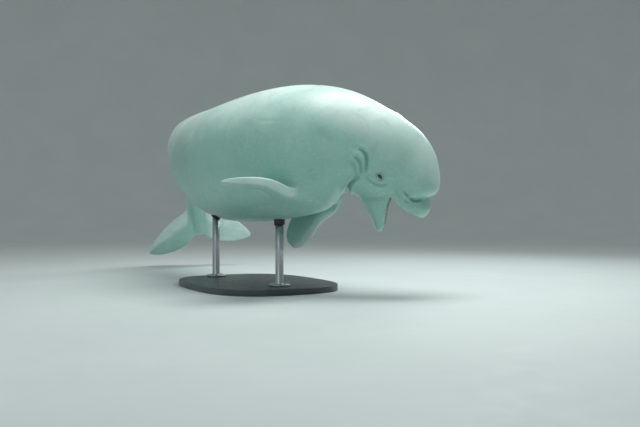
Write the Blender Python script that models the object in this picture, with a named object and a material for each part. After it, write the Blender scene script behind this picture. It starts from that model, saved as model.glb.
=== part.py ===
"""Beluga whale: a still, life-size display model on a flat base with two short rods.

Metres, +Z up. The origin is the middle of the base's underside. The head points to +X and the
right flank faces -Y. The body curves away to the whale's left, with the neck bent down, the mouth
wide open and the tail in a gentle downstroke.
"""

import math

import bmesh
import bpy
import numpy as np
from mathutils import Matrix, Vector
from mathutils.bvhtree import BVHTree

# The gap that two touching pieces keep, and how near to a cutting plane a point counts as on it.
GAP = 0.0003
ON_PLANE = 1e-7

# The whole skin is a cage of four-sided faces, smoothed by this many subdivisions.
SUBDIVISIONS = 1

# The spine line starts above the beak tip and runs back. Each row of the two lists: distance along
# it, then the heading to the right of +X, or the pitch of the forward direction, in degrees.
SPINE_LENGTH = 4.2
SPINE_STEP = 0.005
SPINE_START = (1.080, -0.70, 0.500)
HEADING = (
    (0.0, 8.0), (0.45, 8.0), (0.70, 20.0), (1.0, 39.0), (1.4, 54.0), (1.9, 61.0),
    (2.4, 66.0), (2.8, 75.0), (3.2, 86.0), (4.2, 90.0),
)
PITCH = (
    (0.0, -30.0), (0.45, -30.0), (0.66, -10.0), (0.85, 2.0), (1.2, 4.0), (2.0, -2.0),
    (2.6, -5.0), (2.9, 10.0), (3.2, 36.0), (3.6, 42.0), (4.2, 38.0),
)
# Roll of the back towards the right side, in degrees.
ROLL = ((0.0, 0.0), (1.3, 0.0), (1.9, 8.0), (2.4, 24.0), (2.8, 34.0), (3.3, 24.0), (4.2, 4.0))

# Height of the low ridge that a beluga has on its back in place of a fin.
RIDGE = ((1.7, 0.0), (2.0, 0.022), (2.35, 0.034), (2.7, 0.026), (3.0, 0.0))

# Around the body every ring has this many points. Point 0 is at the waist on the right side, a
# quarter of the way is the back, half way the left waist, three quarters the belly.
RING = 24
HALF = RING // 2
QUARTER = RING // 4
# The spine line lies this far above the line of the closed mouth.
MOUTH_DROP = 0.13

# Rings of the body, each: distance along the spine at the waist, how far further back the belly
# point sits, half width, how far the upper half bulges past an ellipse, height of the back, depth
# of the belly, height of the waist point, the last three from the spine line.
BODY_RINGS = (
    (0.241, 0.165, 0.152, 0.050, 0.262, 0.250, -0.150),
    (0.275, 0.160, 0.170, 0.045, 0.274, 0.252, -0.142),
    (0.315, 0.150, 0.186, 0.040, 0.284, 0.254, -0.132),
    (0.360, 0.135, 0.200, 0.034, 0.290, 0.258, -0.120),
    (0.410, 0.110, 0.212, 0.028, 0.294, 0.266, -0.106),
    (0.470, 0.080, 0.226, 0.021, 0.299, 0.290, -0.090),
    (0.540, 0.052, 0.244, 0.014, 0.308, 0.330, -0.070),
    (0.620, 0.030, 0.268, 0.008, 0.330, 0.372, -0.050),
    (0.710, 0.015, 0.296, 0.003, 0.350, 0.402, -0.034),
    (0.810, 0.005, 0.324, 0.0, 0.366, 0.422, -0.022),
    (0.920, 0.0, 0.350, 0.0, 0.378, 0.438, -0.014),
    (1.040, 0.0, 0.370, 0.0, 0.384, 0.448, -0.008),
    (1.180, 0.0, 0.382, 0.0, 0.386, 0.454, -0.004),
    (1.340, 0.0, 0.388, 0.0, 0.386, 0.456, 0.0),
    (1.520, 0.0, 0.386, 0.0, 0.385, 0.450, 0.0),
    (1.720, 0.0, 0.374, 0.0, 0.380, 0.434, 0.0),
    (1.940, 0.0, 0.346, 0.0, 0.368, 0.406, 0.0),
    (2.180, 0.0, 0.300, 0.0, 0.346, 0.364, 0.0),
    (2.420, 0.0, 0.240, 0.0, 0.318, 0.314, 0.0),
    (2.660, 0.0, 0.180, 0.0, 0.286, 0.262, 0.0),
    (2.890, 0.0, 0.139, 0.0, 0.242, 0.212, 0.0),
    (3.120, 0.0, 0.110, 0.0, 0.190, 0.164, 0.0),
    (3.340, 0.0, 0.086, 0.0, 0.142, 0.121, 0.0),
    (3.540, 0.0, 0.065, 0.0, 0.099, 0.083, 0.0),
    (3.660, 0.0, 0.057, 0.0, 0.074, 0.062, 0.0),
    (3.760, 0.0, 0.054, 0.0, 0.054, 0.045, 0.0),
    (3.860, 0.0, 0.050, 0.0, 0.036, 0.030, 0.0),
    (3.935, 0.0, 0.034, 0.0, 0.022, 0.018, 0.0),
    (3.970, 0.0, 0.018, 0.0, 0.011, 0.009, 0.0),
)

# Midline of the upper head from the ring at the mouth corners over the melon, into the crease
# above the beak and down to the lip: distance behind the beak tip, height above the mouth line.
UPPER_MIDLINE = (
    (0.190, 0.368), (0.130, 0.328), (0.074, 0.270), (0.030, 0.204), (0.008, 0.146), (0.020, 0.108),
    (0.050, 0.090), (0.020, 0.066), (-0.001, 0.036), (-0.005, 0.004), (0.006, -0.026),
)
# Where those same rows meet the right upper lip: distance behind the beak tip.
UPPER_LIP = (0.235, 0.229, 0.222, 0.215, 0.207, 0.198, 0.187, 0.168, 0.143, 0.112, 0.078)
UPPER_LIP_DROP = 0.022
# Share of the upper lip, from the corner, over which it drops that far.
UPPER_LIP_SLOPE = 0.80
# How far each of those rows bulges sideways past a plain arc.
UPPER_BULGE = (0.052, 0.054, 0.054, 0.050, 0.042, 0.026, 0.008, 0.012, 0.016, 0.014, 0.006)
# Midline under the open lower jaw, from the throat to the lip at its tip.
LOWER_MIDLINE = (
    (0.374, -0.139), (0.336, -0.160), (0.298, -0.184), (0.262, -0.208), (0.232, -0.228),
    (0.208, -0.242), (0.192, -0.238),
)
# Where those rows meet the right lower lip: distance behind the beak tip, height.
LOWER_LIP = (
    (0.239, -0.045), (0.235, -0.072), (0.228, -0.100), (0.218, -0.128), (0.207, -0.155),
    (0.196, -0.181), (0.188, -0.206),
)
LOWER_BULGE = (0.022, 0.020, 0.018, 0.016, 0.012, 0.008, 0.004)
MOUTH_HALF_WIDTH = 0.150
# Power that makes the mouth's U rounder, and how much narrower the lower jaw's tip is.
MOUTH_ROUND = 2.6
LOWER_TAPER = 0.10
CORNER_HEIGHT = -0.020
LIP_REACH = 0.241
LOWER_REACH = 0.235
# Lips: how far the crest stands out past the edge of the skin, and how far in the gum line lies.
LIP_CREST = 0.020
LIP_INWARD = 0.010
GUM_INWARD = 0.024
GUM_DEPTH = 0.006
# Middle of each jaw's opening, which its lip leans to, and the direction out of it: behind, to the
# right and up.
UPPER_OPENING = ((0.170, 0.0, 0.0), (0.0, 0.0, -1.0))
LOWER_OPENING = ((0.250, 0.0, -0.080), (-0.80, 0.0, 0.60))
# Midline of the mouth's lining, from the upper gum back to the throat and out to the lower gum.
PALATE_FRONT = (0.040, -0.004)
PALATE_MIDDLE = (0.180, 0.040)
THROAT = (0.350, -0.035)
FLOOR_MIDDLE = (0.262, -0.110)
FLOOR_FRONT = (0.196, -0.192)
# Power that makes the lining's cross sections fuller than an ellipse.
LINING_FULLNESS = 0.8

# Points of a fin's section lie between these shares of its chord. Its half thickness follows the
# root of the share, times a fullness that makes it 1 at its fullest, and thins towards the rear.
FIN_SHARES = (0.07, 0.90)
FIN_FULLNESS = 2.6
FIN_THINNING = 0.28

# A flipper grows from a patch of the ring grid: its first ring, its number of rows, and the three
# columns that bound the right and the left one.
FLIPPER_ROW = 8
FLIPPER_ROWS = 3
FLIPPER_COLUMN = 20
RIGHT_COLUMNS = (FLIPPER_COLUMN, FLIPPER_COLUMN + 1, FLIPPER_COLUMN + 2)
LEFT_COLUMNS = tuple((HALF - column) % RING for column in RIGHT_COLUMNS)
# Sections along a flipper: share of its length, chord, distance of the leading edge from the
# flipper's axis, half thickness.
FLIPPER_LENGTH = 0.48
FLIPPER_SECTIONS = (
    (0.08, 0.215, 0.110, 0.050), (0.18, 0.198, 0.100, 0.038), (0.30, 0.206, 0.098, 0.030),
    (0.45, 0.236, 0.107, 0.025),
    (0.60, 0.256, 0.114, 0.021), (0.75, 0.246, 0.108, 0.016), (0.87, 0.206, 0.090, 0.012),
    (0.95, 0.146, 0.062, 0.008), (0.99, 0.074, 0.032, 0.004),
)
# Directions of each flipper: out along its near half, out along its far half, and from its leading
# to its trailing edge.
RIGHT_FLIPPER = ((-0.62, -0.58, 0.50), (-0.92, -0.40, 0.02), (-0.46, 0.84, -0.20))
LEFT_FLIPPER = ((-0.78, 0.44, -0.44), (-0.55, 0.20, -0.81), (-0.40, 0.55, 0.65))
# A flipper leaves the flank at right angles. It has turned into its first direction at the first
# share of its length, and into the second one at the second share.
FLIPPER_TURNS = (0.27, 0.70)

# A fluke grows from a patch on each side of the tail stock.
FLUKE_ROW = 23
FLUKE_ROWS = 4
FLUKE_HALF_WIDTH = 0.056
# Sections along a fluke, measured from the tail's own frame: distance out from the midline,
# leading edge and trailing edge as distances along the spine, half thickness, upward curve.
FLUKE_SECTIONS = (
    (0.076, 3.586, 4.032, 0.031, 0.000), (0.152, 3.642, 4.106, 0.026, 0.000),
    (0.240, 3.712, 4.148, 0.020, -0.002), (0.320, 3.790, 4.156, 0.016, -0.006),
    (0.395, 3.880, 4.142, 0.012, -0.014),
    (0.450, 3.968, 4.112, 0.008, -0.022), (0.474, 4.020, 4.092, 0.005, -0.025),
    (0.484, 4.052, 4.078, 0.003, -0.026),
)
FLUKE_FRAME = 3.76

# The body is parted square to the spine at these distances along it.
BODY_CUTS = (
    ("head", 0.48), ("neck", 0.67), ("chest", 1.42), ("abdomen", 2.45), ("tail_stock", None),
)
# Limbs are parted this far out from the middle of the patch that they grow from.
FLIPPER_CUT = 0.030
FLUKE_CUT = 0.020
# The lower jaw is parted by a plane from the mouth's corners down and back to the throat.
JAW_HINGE = (0.2350, -0.030)
JAW_BACK = (0.470, -0.182)
JAW_CLEAR = ((0.470, -0.450), (-0.050, -0.450), (-0.050, -0.230))
JAW_CUTTER_HALF_WIDTH = 0.5

# Eyes: place in the head's frame, radius of the ball, how far its middle lies under the skin, the
# almond opening's half length, half height and tilt, and the soft mound of the lids.
EYE_BEHIND = 0.341
EYE_HEIGHT = 0.046
EYE_RADIUS = 0.019
EYE_DEPTH = 0.016
EYE_OPENING = (0.0175, 0.0125)
EYE_TILT = 20.0
EYE_SEGMENTS = (12, 8)
# Share of the upper lid's bow that the lower lid has, points along a lid, and the cutter's reach.
LOWER_LID_BOW = 0.85
LID_POINTS = 9
SLIT_REACH = 0.040
LID_MOUND = (0.060, 0.045, 0.008)
# Blowhole: place, half width and half breadth of the crescent, its bow, and its depth.
BLOWHOLE_BEHIND = 0.440
BLOWHOLE_SIDE = -0.012
BLOWHOLE_HALF_WIDTH = 0.036
BLOWHOLE_HALF_BREADTH = 0.005
BLOWHOLE_BOW = 0.018
BLOWHOLE_DEPTH = 0.020
BLOWHOLE_END = 0.0004
BLOWHOLE_STEPS = 10
BLOWHOLE_MOUND = (0.110, 0.085, 0.010)
# Rays that find the skin start this far out.
RAY_START = 0.8

# Teeth: pegs in each half of each jaw, their radius, height past the gum and sunk root.
TEETH = 8
TOOTH_RADIUS = 0.0055
TOOTH_HEIGHT = 0.011
TOOTH_ROOT = 0.010
TOOTH_SIDES = 5
# Rings of a tooth: height past the gum as a share of the whole, and width as a share of the foot.
TOOTH_RINGS = ((0.55, 0.92), (0.90, 0.55))
# A row of teeth swings round the mouth between these shares of half a turn. The share of the jaw's
# length that each tooth stands at runs from the first of these values to their sum.
TOOTH_SWING = (0.12, 0.76)
TOOTH_SHARE = (0.12, 0.78)
# How far behind the lip's edge the teeth of each jaw stand, and how far up into the gum.
UPPER_TOOTH_SHIFT = (0.012, 0.002)
LOWER_TOOTH_SHIFT = (0.004, 0.012)
LOWER_TOOTH_NARROW = 0.96
# Tongue: middle, half length, half width and half thickness, lying along the floor of the mouth.
TONGUE_MIDDLE = (0.262, -0.102)
TONGUE_HALF = (0.085, 0.060, 0.022)
TONGUE_SLOPE = 58.0
TONGUE_SEGMENTS = (16, 8)

# Stand: a flat rounded base and two rods. Rods: distance along the spine that each holds.
BASE_HALF = (0.62, 0.46)
BASE_TURN = -62.0
BASE_CORNER = 3.0
BASE_HEIGHT = 0.040
BASE_EDGE = 0.006
BASE_EDGE_STEPS = 1
BASE_SIDES = 56
ROD_PLACES = (1.12, 2.02)
ROD_RADIUS = 0.026
ROD_FOOT_RADIUS = 0.070
ROD_FOOT_HEIGHT = 0.014
ROD_SIDES = 28

# Materials: colour, roughness, metallic.
SKIN = ("skin", (0.78, 0.80, 0.78), 0.42, 0.0)
MOUTH = ("mouth", (0.62, 0.36, 0.34), 0.38, 0.0)
EYE = ("eye", (0.012, 0.010, 0.010), 0.08, 0.0)
STAND = ("stand", (0.10, 0.11, 0.12), 0.45, 0.0)
ROD = ("rod", (0.55, 0.56, 0.58), 0.30, 1.0)


def smooth_curve(rows, where):
    """Read a smooth curve through rows of (place, value) at the places asked for."""
    knots = np.array(rows, float)
    place, value = knots[:, 0], knots[:, 1]
    step = np.diff(place)
    slope = np.diff(value) / step
    tangent = np.zeros(len(place))
    tangent[0], tangent[-1] = slope[0], slope[-1]
    same_way = slope[:-1] * slope[1:] > 0.0
    safe = np.where(same_way, slope[:-1] * slope[1:], 1.0)
    mean = 2.0 * safe / np.where(same_way, slope[:-1] + slope[1:], 1.0)
    tangent[1:-1] = np.where(same_way, mean, 0.0)
    where = np.clip(where, place[0], place[-1])
    left = np.clip(np.searchsorted(place, where) - 1, 0, len(step) - 1)
    t = (where - place[left]) / step[left]
    rise = value[left] * (1 + 2 * t) * (1 - t) ** 2 + value[left + 1] * t * t * (3 - 2 * t)
    bend = tangent[left] * t * (1 - t) ** 2 + tangent[left + 1] * t * t * (t - 1)
    return rise + bend * step[left]


class Spine:
    """The body's centre line, with a forward, an upward and a rightward direction at each place."""

    def __init__(self):
        self.places = np.arange(0.0, SPINE_LENGTH + SPINE_STEP, SPINE_STEP)
        heading = np.radians(smooth_curve(HEADING, self.places))
        pitch = np.radians(smooth_curve(PITCH, self.places))
        roll = np.radians(smooth_curve(ROLL, self.places))[:, None]
        self.forward = np.stack([
            np.cos(pitch) * np.cos(heading), -np.cos(pitch) * np.sin(heading), np.sin(pitch)
        ], axis=1)
        level_up = np.stack([
            -np.sin(pitch) * np.cos(heading), np.sin(pitch) * np.sin(heading), np.cos(pitch)
        ], axis=1)
        level_right = np.cross(self.forward, level_up)
        self.up = level_up * np.cos(roll) + level_right * np.sin(roll)
        self.right = level_right * np.cos(roll) - level_up * np.sin(roll)
        middle = (self.forward[1:] + self.forward[:-1]) / 2
        start = np.array(SPINE_START) + self.up[0] * MOUTH_DROP
        steps = np.cumsum(middle * SPINE_STEP, axis=0)
        self.centre = np.vstack([start, start - steps])

    def read(self, table, place):
        """Read one of the tables at a distance along the spine, also past its ends."""
        index = np.clip(place / SPINE_STEP, 0, len(self.places) - 1)
        low = int(index)
        high = min(low + 1, len(self.places) - 1)
        return table[low] + (table[high] - table[low]) * (index - low)

    def point(self, place, side, height):
        """World point at a distance along the spine, a way to the right and a height above it."""
        past = min(place, 0.0) + max(place - SPINE_LENGTH, 0.0)
        centre = self.read(self.centre, place) - self.read(self.forward, place) * past
        return centre + self.read(self.right, place) * side + self.read(self.up, place) * height

    def head_point(self, behind, side, height):
        """World point in the head's straight frame, with heights above the mouth line."""
        return self.point(behind, side, height - MOUTH_DROP)


class Cage:
    """Points and faces of the skin's cage, with a number for the body part of each face."""

    def __init__(self):
        self.points = []
        self.faces = []
        self.parts = []
        self.rings = []

    def add(self, point):
        self.points.append(tuple(float(v) for v in point))
        return len(self.points) - 1

    def face(self, corners, part):
        self.faces.append(tuple(corners))
        self.parts.append(part)

    def strip(self, first, second, part, closed=False):
        """Join two rows of points with a row of faces."""
        count = len(first) if closed else len(first) - 1
        for i in range(count):
            j = (i + 1) % len(first)
            self.face((first[i], first[j], second[j], second[i]), part)


BODY, LINING, FLIPPER_RIGHT, FLIPPER_LEFT, FLUKE_RIGHT, FLUKE_LEFT = range(6)


def ring_angle(column):
    return 2.0 * math.pi * column / RING


def body_ring(cage, spine, row):
    """One ring round the body, whose belly half may lean back."""
    place, lean, half_width, bulge, back, belly, waist = row
    ring = {}
    for column in range(RING):
        angle = ring_angle(column)
        rise = math.sin(angle)
        reach = back - waist if rise > 0.0 else belly + waist
        behind = place + lean * max(-rise, 0.0)
        side = half_width * math.cos(angle)
        if rise > 0.0:
            side += bulge * math.sin(2.0 * angle)
        if column == QUARTER:
            reach += float(smooth_curve(RIDGE, place))
        ring[column] = cage.add(spine.point(behind, side, waist + reach * rise))
    return ring


def mouth_width(share):
    """Half width of the mouth, from 1 at its corners to 0 at the tip, as a rounded U."""
    return MOUTH_HALF_WIDTH * (1.0 - share ** MOUTH_ROUND) ** 0.5


def upper_lip_point(behind):
    share = (LIP_REACH - behind) / LIP_REACH
    drop = UPPER_LIP_DROP * math.sin(min(share / UPPER_LIP_SLOPE, 1.0) * math.pi / 2)
    return behind, mouth_width(share), CORNER_HEIGHT - drop


def lower_lip_point(behind, height):
    share = -height / LOWER_REACH
    return behind, mouth_width(share) * (1.0 - LOWER_TAPER * share), height


def arc_row(lip, midline, bulge):
    """Points from the right lip over the midline to the left lip, as an arc that bulges."""
    behind, half_width, height = lip
    row = []
    for column in range(HALF + 1):
        angle = ring_angle(column)
        rise = math.sin(angle)
        side = half_width * math.cos(angle) + bulge * math.sin(2.0 * angle)
        row.append((
            behind + (midline[0] - behind) * rise, side, height + (midline[1] - height) * rise
        ))
    return row


def add_row(cage, spine, row):
    return [cage.add(spine.head_point(*point)) for point in row]


def lip_loop(rows_up, rows_down):
    """The closed loop round the mouth: right corner, upper lip, left corner, lower lip."""
    right_up = [row[0] for row in rows_up]
    left_up = [row[-1] for row in rows_up]
    right_down = [row[0] for row in rows_down]
    left_down = [row[-1] for row in rows_down]
    loop = right_up + rows_up[-1][1:-1] + left_up[::-1]
    loop += left_down[1:] + rows_down[-1][1:-1][::-1] + right_down[:0:-1]
    return loop


def mouth_rows():
    """Rows of the upper and of the lower outer patch, each from the corners to the lip."""
    corner = (LIP_REACH, MOUTH_HALF_WIDTH, CORNER_HEIGHT)
    upper = []
    for behind, midline, bulge in zip(UPPER_LIP, UPPER_MIDLINE, UPPER_BULGE):
        upper.append(arc_row(upper_lip_point(behind), midline, bulge))
    lower = []
    for lip, midline, bulge in zip(LOWER_LIP, LOWER_MIDLINE, LOWER_BULGE):
        lower.append(arc_row(lower_lip_point(*lip), midline, bulge))
    return corner, upper, lower


def inward_lip(point, reach, opening, upper):
    """A lip point moved towards the mouth's middle, and out towards the opening."""
    middle, away = UPPER_OPENING if upper else LOWER_OPENING
    away = np.array(away)
    pull = np.array(middle) - np.array(point)
    pull = unit(pull - away * np.dot(pull, away))
    return tuple(np.array(point) + pull * reach + away * opening)


def lining_profile(start, middle, end, count):
    """Points after the start along the midline of the palate or of the floor, as a smooth bow."""
    start, middle, end = np.array(start), np.array(middle), np.array(end)
    pull = 2.0 * middle - (start + end) / 2.0
    points = []
    for i in range(1, count + 1):
        t = i / count
        points.append((1 - t) ** 2 * start + 2 * t * (1 - t) * pull + t * t * end)
    return points


def add_head(cage, spine, corner_ring):
    """Upper head, lower jaw, lips and the mouth's lining, all ahead of the first ring."""
    corner, upper, lower = mouth_rows()
    top = [corner_ring[column] for column in range(HALF + 1)]
    under = [corner_ring[-column % RING] for column in range(HALF + 1)]
    upper_ids = [top] + [add_row(cage, spine, row) for row in upper]
    lower_ids = [under] + [add_row(cage, spine, row) for row in lower]
    for first, second in zip(upper_ids, upper_ids[1:]):
        cage.strip(first, second, BODY)
    for first, second in zip(lower_ids, lower_ids[1:]):
        cage.strip(second, first, BODY)
    # Lips: two more loops inside the edge of the skin.
    corner_row = [corner] + [None] * (HALF - 1) + [(corner[0], -corner[1], corner[2])]
    edge = lip_loop([corner_row] + upper, [corner_row] + lower)
    edge_ids = lip_loop(upper_ids, lower_ids)
    upper_count = 2 * len(upper) + HALF + 1
    crest, gum = [], []
    for i, point in enumerate(edge):
        up = i < upper_count
        length = upper_count - 1 if up else len(edge) - upper_count + 1
        step = i if up else i - upper_count + 1
        open_share = math.sin(math.pi * step / length) ** 0.5
        crest.append(inward_lip(point, LIP_INWARD, LIP_CREST * open_share, up))
        gum.append(inward_lip(point, GUM_INWARD, -GUM_DEPTH * open_share, up))
    crest_ids = add_row(cage, spine, crest)
    gum_ids = add_row(cage, spine, gum)
    cage.strip(edge_ids, crest_ids, LINING, closed=True)
    cage.strip(crest_ids, gum_ids, LINING, closed=True)
    add_lining(cage, spine, gum, gum_ids, len(upper), len(lower))


def add_lining(cage, spine, gum, gum_ids, up_rows, down_rows):
    """Palate, throat and floor of the mouth, as one grid that the gum line bounds."""
    total = len(gum)
    grid = []
    palate = lining_profile(PALATE_FRONT, PALATE_MIDDLE, THROAT, up_rows)
    floor = lining_profile(THROAT, FLOOR_MIDDLE, FLOOR_FRONT, down_rows)
    middle = palate + floor[:-1]
    grid.append(gum_ids[up_rows:up_rows + HALF + 1])
    for step, midline in enumerate(middle, 1):
        right = (up_rows - step) % total
        left = (up_rows + HALF + step) % total
        behind, side, height = gum[right]
        row = [gum_ids[right]]
        for column in range(1, HALF):
            angle = ring_angle(column)
            rise = math.sin(angle) ** LINING_FULLNESS
            row.append(cage.add(spine.head_point(
                behind + (midline[0] - behind) * rise,
                side * math.cos(angle),
                height + (midline[1] - height) * rise,
            )))
        row.append(gum_ids[left])
        grid.append(row)
    front = [gum_ids[(-down_rows - k) % total] for k in range(HALF + 1)]
    grid.append(front)
    for first, second in zip(grid, grid[1:]):
        cage.strip(first, second, LINING)


def patch_loop(rings, first_row, rows, columns):
    """Boundary of a patch of the ring grid: front middle, one side back, rear middle, other side."""
    side_a, middle, side_b = (column % RING for column in columns)
    last = first_row + rows
    loop = [rings[first_row][middle]]
    loop += [rings[row][side_b] for row in range(first_row, last + 1)]
    loop += [rings[last][middle]]
    loop += [rings[row][side_a] for row in range(last, first_row - 1, -1)]
    return loop


def section_loop(rows, edge, chord, face):
    """Points round a fin's section: leading edge, one face, trailing edge, other face."""
    first, last = FIN_SHARES
    shares = [first + (last - first) * i / rows for i in range(rows + 1)]
    loop = [edge]
    loop += [edge + chord * share + face * thickness_at(share) for share in shares]
    loop += [edge + chord]
    loop += [edge + chord * share - face * thickness_at(share) for share in reversed(shares)]
    return loop


def thickness_at(share):
    """Half thickness of a fin's section, from 0 at the edges to 1 at its fullest."""
    return FIN_FULLNESS * math.sqrt(share) * (1.0 - share) * (1.0 - FIN_THINNING * share)


def add_limb(cage, root, loops, part, turned):
    """Rings of faces from a patch's boundary out along a limb, closed at the tip."""
    previous = root
    for loop in loops:
        current = [cage.add(point) for point in loop]
        if turned:
            cage.strip(current, previous, part, closed=True)
        else:
            cage.strip(previous, current, part, closed=True)
        previous = current
    count = len(previous)
    half = count // 2
    for i in range(half):
        a, b = previous[i], previous[i + 1]
        c, d = previous[(count - i - 1) % count], previous[(count - i) % count]
        corners = list(dict.fromkeys((a, b, c, d)))
        if turned:
            corners.reverse()
        cage.face(corners, part)


def smooth_step(share):
    share = min(max(share, 0.0), 1.0)
    return share * share * (3.0 - 2.0 * share)


def unit(vector):
    vector = np.array(vector, float)
    return vector / np.linalg.norm(vector)


def flipper_root(cage, columns, turned):
    """Middle of the patch that a flipper grows from, and the direction square out of it."""
    root = patch_loop(cage.rings, FLIPPER_ROW, FLIPPER_ROWS, columns)
    corners = [np.array(cage.points[i]) for i in root]
    back = corners[len(root) // 2] - corners[0]
    across = corners[len(root) // 4] - corners[-(len(root) // 4)]
    out = unit(np.cross(back, across)) * (1.0 if turned else -1.0)
    return np.mean(corners, axis=0), out


def add_flipper(cage, columns, directions, part, turned):
    """One flipper, which leaves the flank square and then sweeps back."""
    near, far, chord = (unit(direction) for direction in directions)
    first_turn, second_turn = FLIPPER_TURNS
    root = patch_loop(cage.rings, FLIPPER_ROW, FLIPPER_ROWS, columns)
    axis, start_out = flipper_root(cage, columns, turned)
    back = unit(np.array(cage.points[root[len(root) // 2]]) - np.array(cage.points[root[0]]))
    reached = 0.0
    loops = []
    for share, width, lead, half_thickness in FLIPPER_SECTIONS:
        turn = smooth_step(share / first_turn)
        bend = smooth_step((share - first_turn) / (second_turn - first_turn))
        along = unit(start_out * (1.0 - turn) + near * turn * (1.0 - bend) + far * bend)
        broad = back * (1.0 - turn) + chord * turn
        broad = unit(broad - along * np.dot(broad, along))
        face = np.cross(along, broad) * (1.0 if turned else -1.0)
        axis = axis + along * FLIPPER_LENGTH * (share - reached)
        reached = share
        loops.append(section_loop(
            FLIPPER_ROWS, axis - broad * lead, broad * width, face * half_thickness
        ))
    add_limb(cage, root, loops, part, turned)


def add_fluke(cage, spine, side, part):
    """One half of the flukes, out from the side of the tail stock."""
    columns = (-1, 0, 1) if side > 0 else (HALF + 1, HALF, HALF - 1)
    root = patch_loop(cage.rings, FLUKE_ROW, FLUKE_ROWS, columns)
    base = spine.point(FLUKE_FRAME, 0.0, 0.0)
    back = -spine.read(spine.forward, FLUKE_FRAME)
    right = spine.read(spine.right, FLUKE_FRAME)
    up = spine.read(spine.up, FLUKE_FRAME)
    loops = []
    for reach, lead, trail, half_thickness, lift in FLUKE_SECTIONS:
        edge = base + back * (lead - FLUKE_FRAME) + right * side * reach + up * lift
        loops.append(section_loop(
            FLUKE_ROWS, edge, back * (trail - lead), up * half_thickness
        ))
    add_limb(cage, root, loops, part, side < 0)


def build_cage():
    """The whole whale as one closed cage."""
    spine = Spine()
    cage = Cage()
    rings = [body_ring(cage, spine, row) for row in BODY_RINGS]
    cage.rings = rings
    open_faces = set()
    for first in range(FLIPPER_ROW, FLIPPER_ROW + FLIPPER_ROWS):
        for column in RIGHT_COLUMNS[:2] + LEFT_COLUMNS[1:]:
            open_faces.add((first, column))
    for first in range(FLUKE_ROW, FLUKE_ROW + FLUKE_ROWS):
        for column in (RING - 1, 0, HALF - 1, HALF):
            open_faces.add((first, column))
    for row, (first, second) in enumerate(zip(rings, rings[1:])):
        for column in range(RING):
            if (row, column) in open_faces:
                continue
            after = (column + 1) % RING
            cage.face((first[column], second[column], second[after], first[after]), BODY)
    last = rings[-1]
    for column in range(HALF):
        corners = (
            last[column], last[(RING - column) % RING], last[RING - column - 1], last[column + 1]
        )
        cage.face(list(dict.fromkeys(corners)), BODY)
    add_head(cage, spine, rings[0])
    add_flipper(cage, RIGHT_COLUMNS, RIGHT_FLIPPER, FLIPPER_RIGHT, False)
    add_flipper(cage, LEFT_COLUMNS, LEFT_FLIPPER, FLIPPER_LEFT, True)
    add_fluke(cage, spine, 1.0, FLUKE_RIGHT)
    add_fluke(cage, spine, -1.0, FLUKE_LEFT)
    return cage, spine


def link(name, mesh):
    thing = bpy.data.objects.new(name, mesh)
    bpy.context.scene.collection.objects.link(thing)
    return thing


def settle(thing):
    """Replace an object's mesh by what its modifiers make of it."""
    depsgraph = bpy.context.evaluated_depsgraph_get()
    mesh = bpy.data.meshes.new_from_object(thing.evaluated_get(depsgraph))
    thing.modifiers.clear()
    thing.data = mesh


def skin_mesh(cage):
    """The smoothed skin of the whole whale, with its faces turned outward."""
    mesh = bpy.data.meshes.new("whole")
    mesh.from_pydata(cage.points, [], cage.faces)
    mesh.polygons.foreach_set("material_index", cage.parts)
    shape = bmesh.new()
    shape.from_mesh(mesh)
    bmesh.ops.recalc_face_normals(shape, faces=shape.faces)
    shape.to_mesh(mesh)
    shape.free()
    whole = link("whole", mesh)
    smooth = whole.modifiers.new("Smooth", "SUBSURF")
    smooth.levels = SUBDIVISIONS
    smooth.render_levels = SUBDIVISIONS
    settle(whole)
    shape = bmesh.new()
    shape.from_mesh(whole.data)
    bpy.data.objects.remove(whole, do_unlink=True)
    return shape


def cap(shape):
    """Close the holes that a cut has left."""
    open_edges = [edge for edge in shape.edges if edge.is_boundary]
    bmesh.ops.holes_fill(shape, edges=open_edges)


def cut_plane(shape, faces, point, normal):
    """Split the given faces along a plane."""
    edges = {edge for face in faces for edge in face.edges}
    verts = {vert for face in faces for vert in face.verts}
    bmesh.ops.bisect_plane(
        shape, geom=list(faces) + list(edges) + list(verts), dist=ON_PLANE,
        plane_co=Vector(point), plane_no=Vector(normal),
    )


def part_limb(shape, part, name, point, normal):
    """Take a limb off the skin along a plane, and close both sides."""
    point = np.array(point)
    for shift in (0.0, GAP):
        faces = [face for face in shape.faces if face.material_index == part]
        cut_plane(shape, faces, point + normal * shift, normal)

    def reach(face):
        return float(np.dot(np.array(face.calc_center_median()) - point, normal))

    limb = shape.copy()
    away = [face for face in limb.faces if face.material_index != part or reach(face) < GAP]
    bmesh.ops.delete(limb, geom=away, context="FACES")
    cap(limb)
    away = [face for face in shape.faces if face.material_index == part and reach(face) > 0.0]
    bmesh.ops.delete(shape, geom=away, context="FACES")
    cap(shape)
    return finish_node(name, limb, SKIN)


def part_limbs(shape, cage, spine):
    """Take both flippers and both flukes off the skin."""
    flippers = (
        (FLIPPER_RIGHT, "flipper_right", RIGHT_COLUMNS), (FLIPPER_LEFT, "flipper_left", LEFT_COLUMNS),
    )
    for part, name, columns in flippers:
        point, normal = flipper_root(cage, columns, part == FLIPPER_LEFT)
        part_limb(shape, part, name, point + normal * FLIPPER_CUT, normal)
    middle = spine.point(FLUKE_FRAME, 0.0, 0.0)
    for part, name, side in ((FLUKE_RIGHT, "fluke_right", 1.0), (FLUKE_LEFT, "fluke_left", -1.0)):
        normal = spine.read(spine.right, FLUKE_FRAME) * side
        part_limb(shape, part, name, middle + normal * (FLUKE_HALF_WIDTH + FLUKE_CUT), normal)


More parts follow.
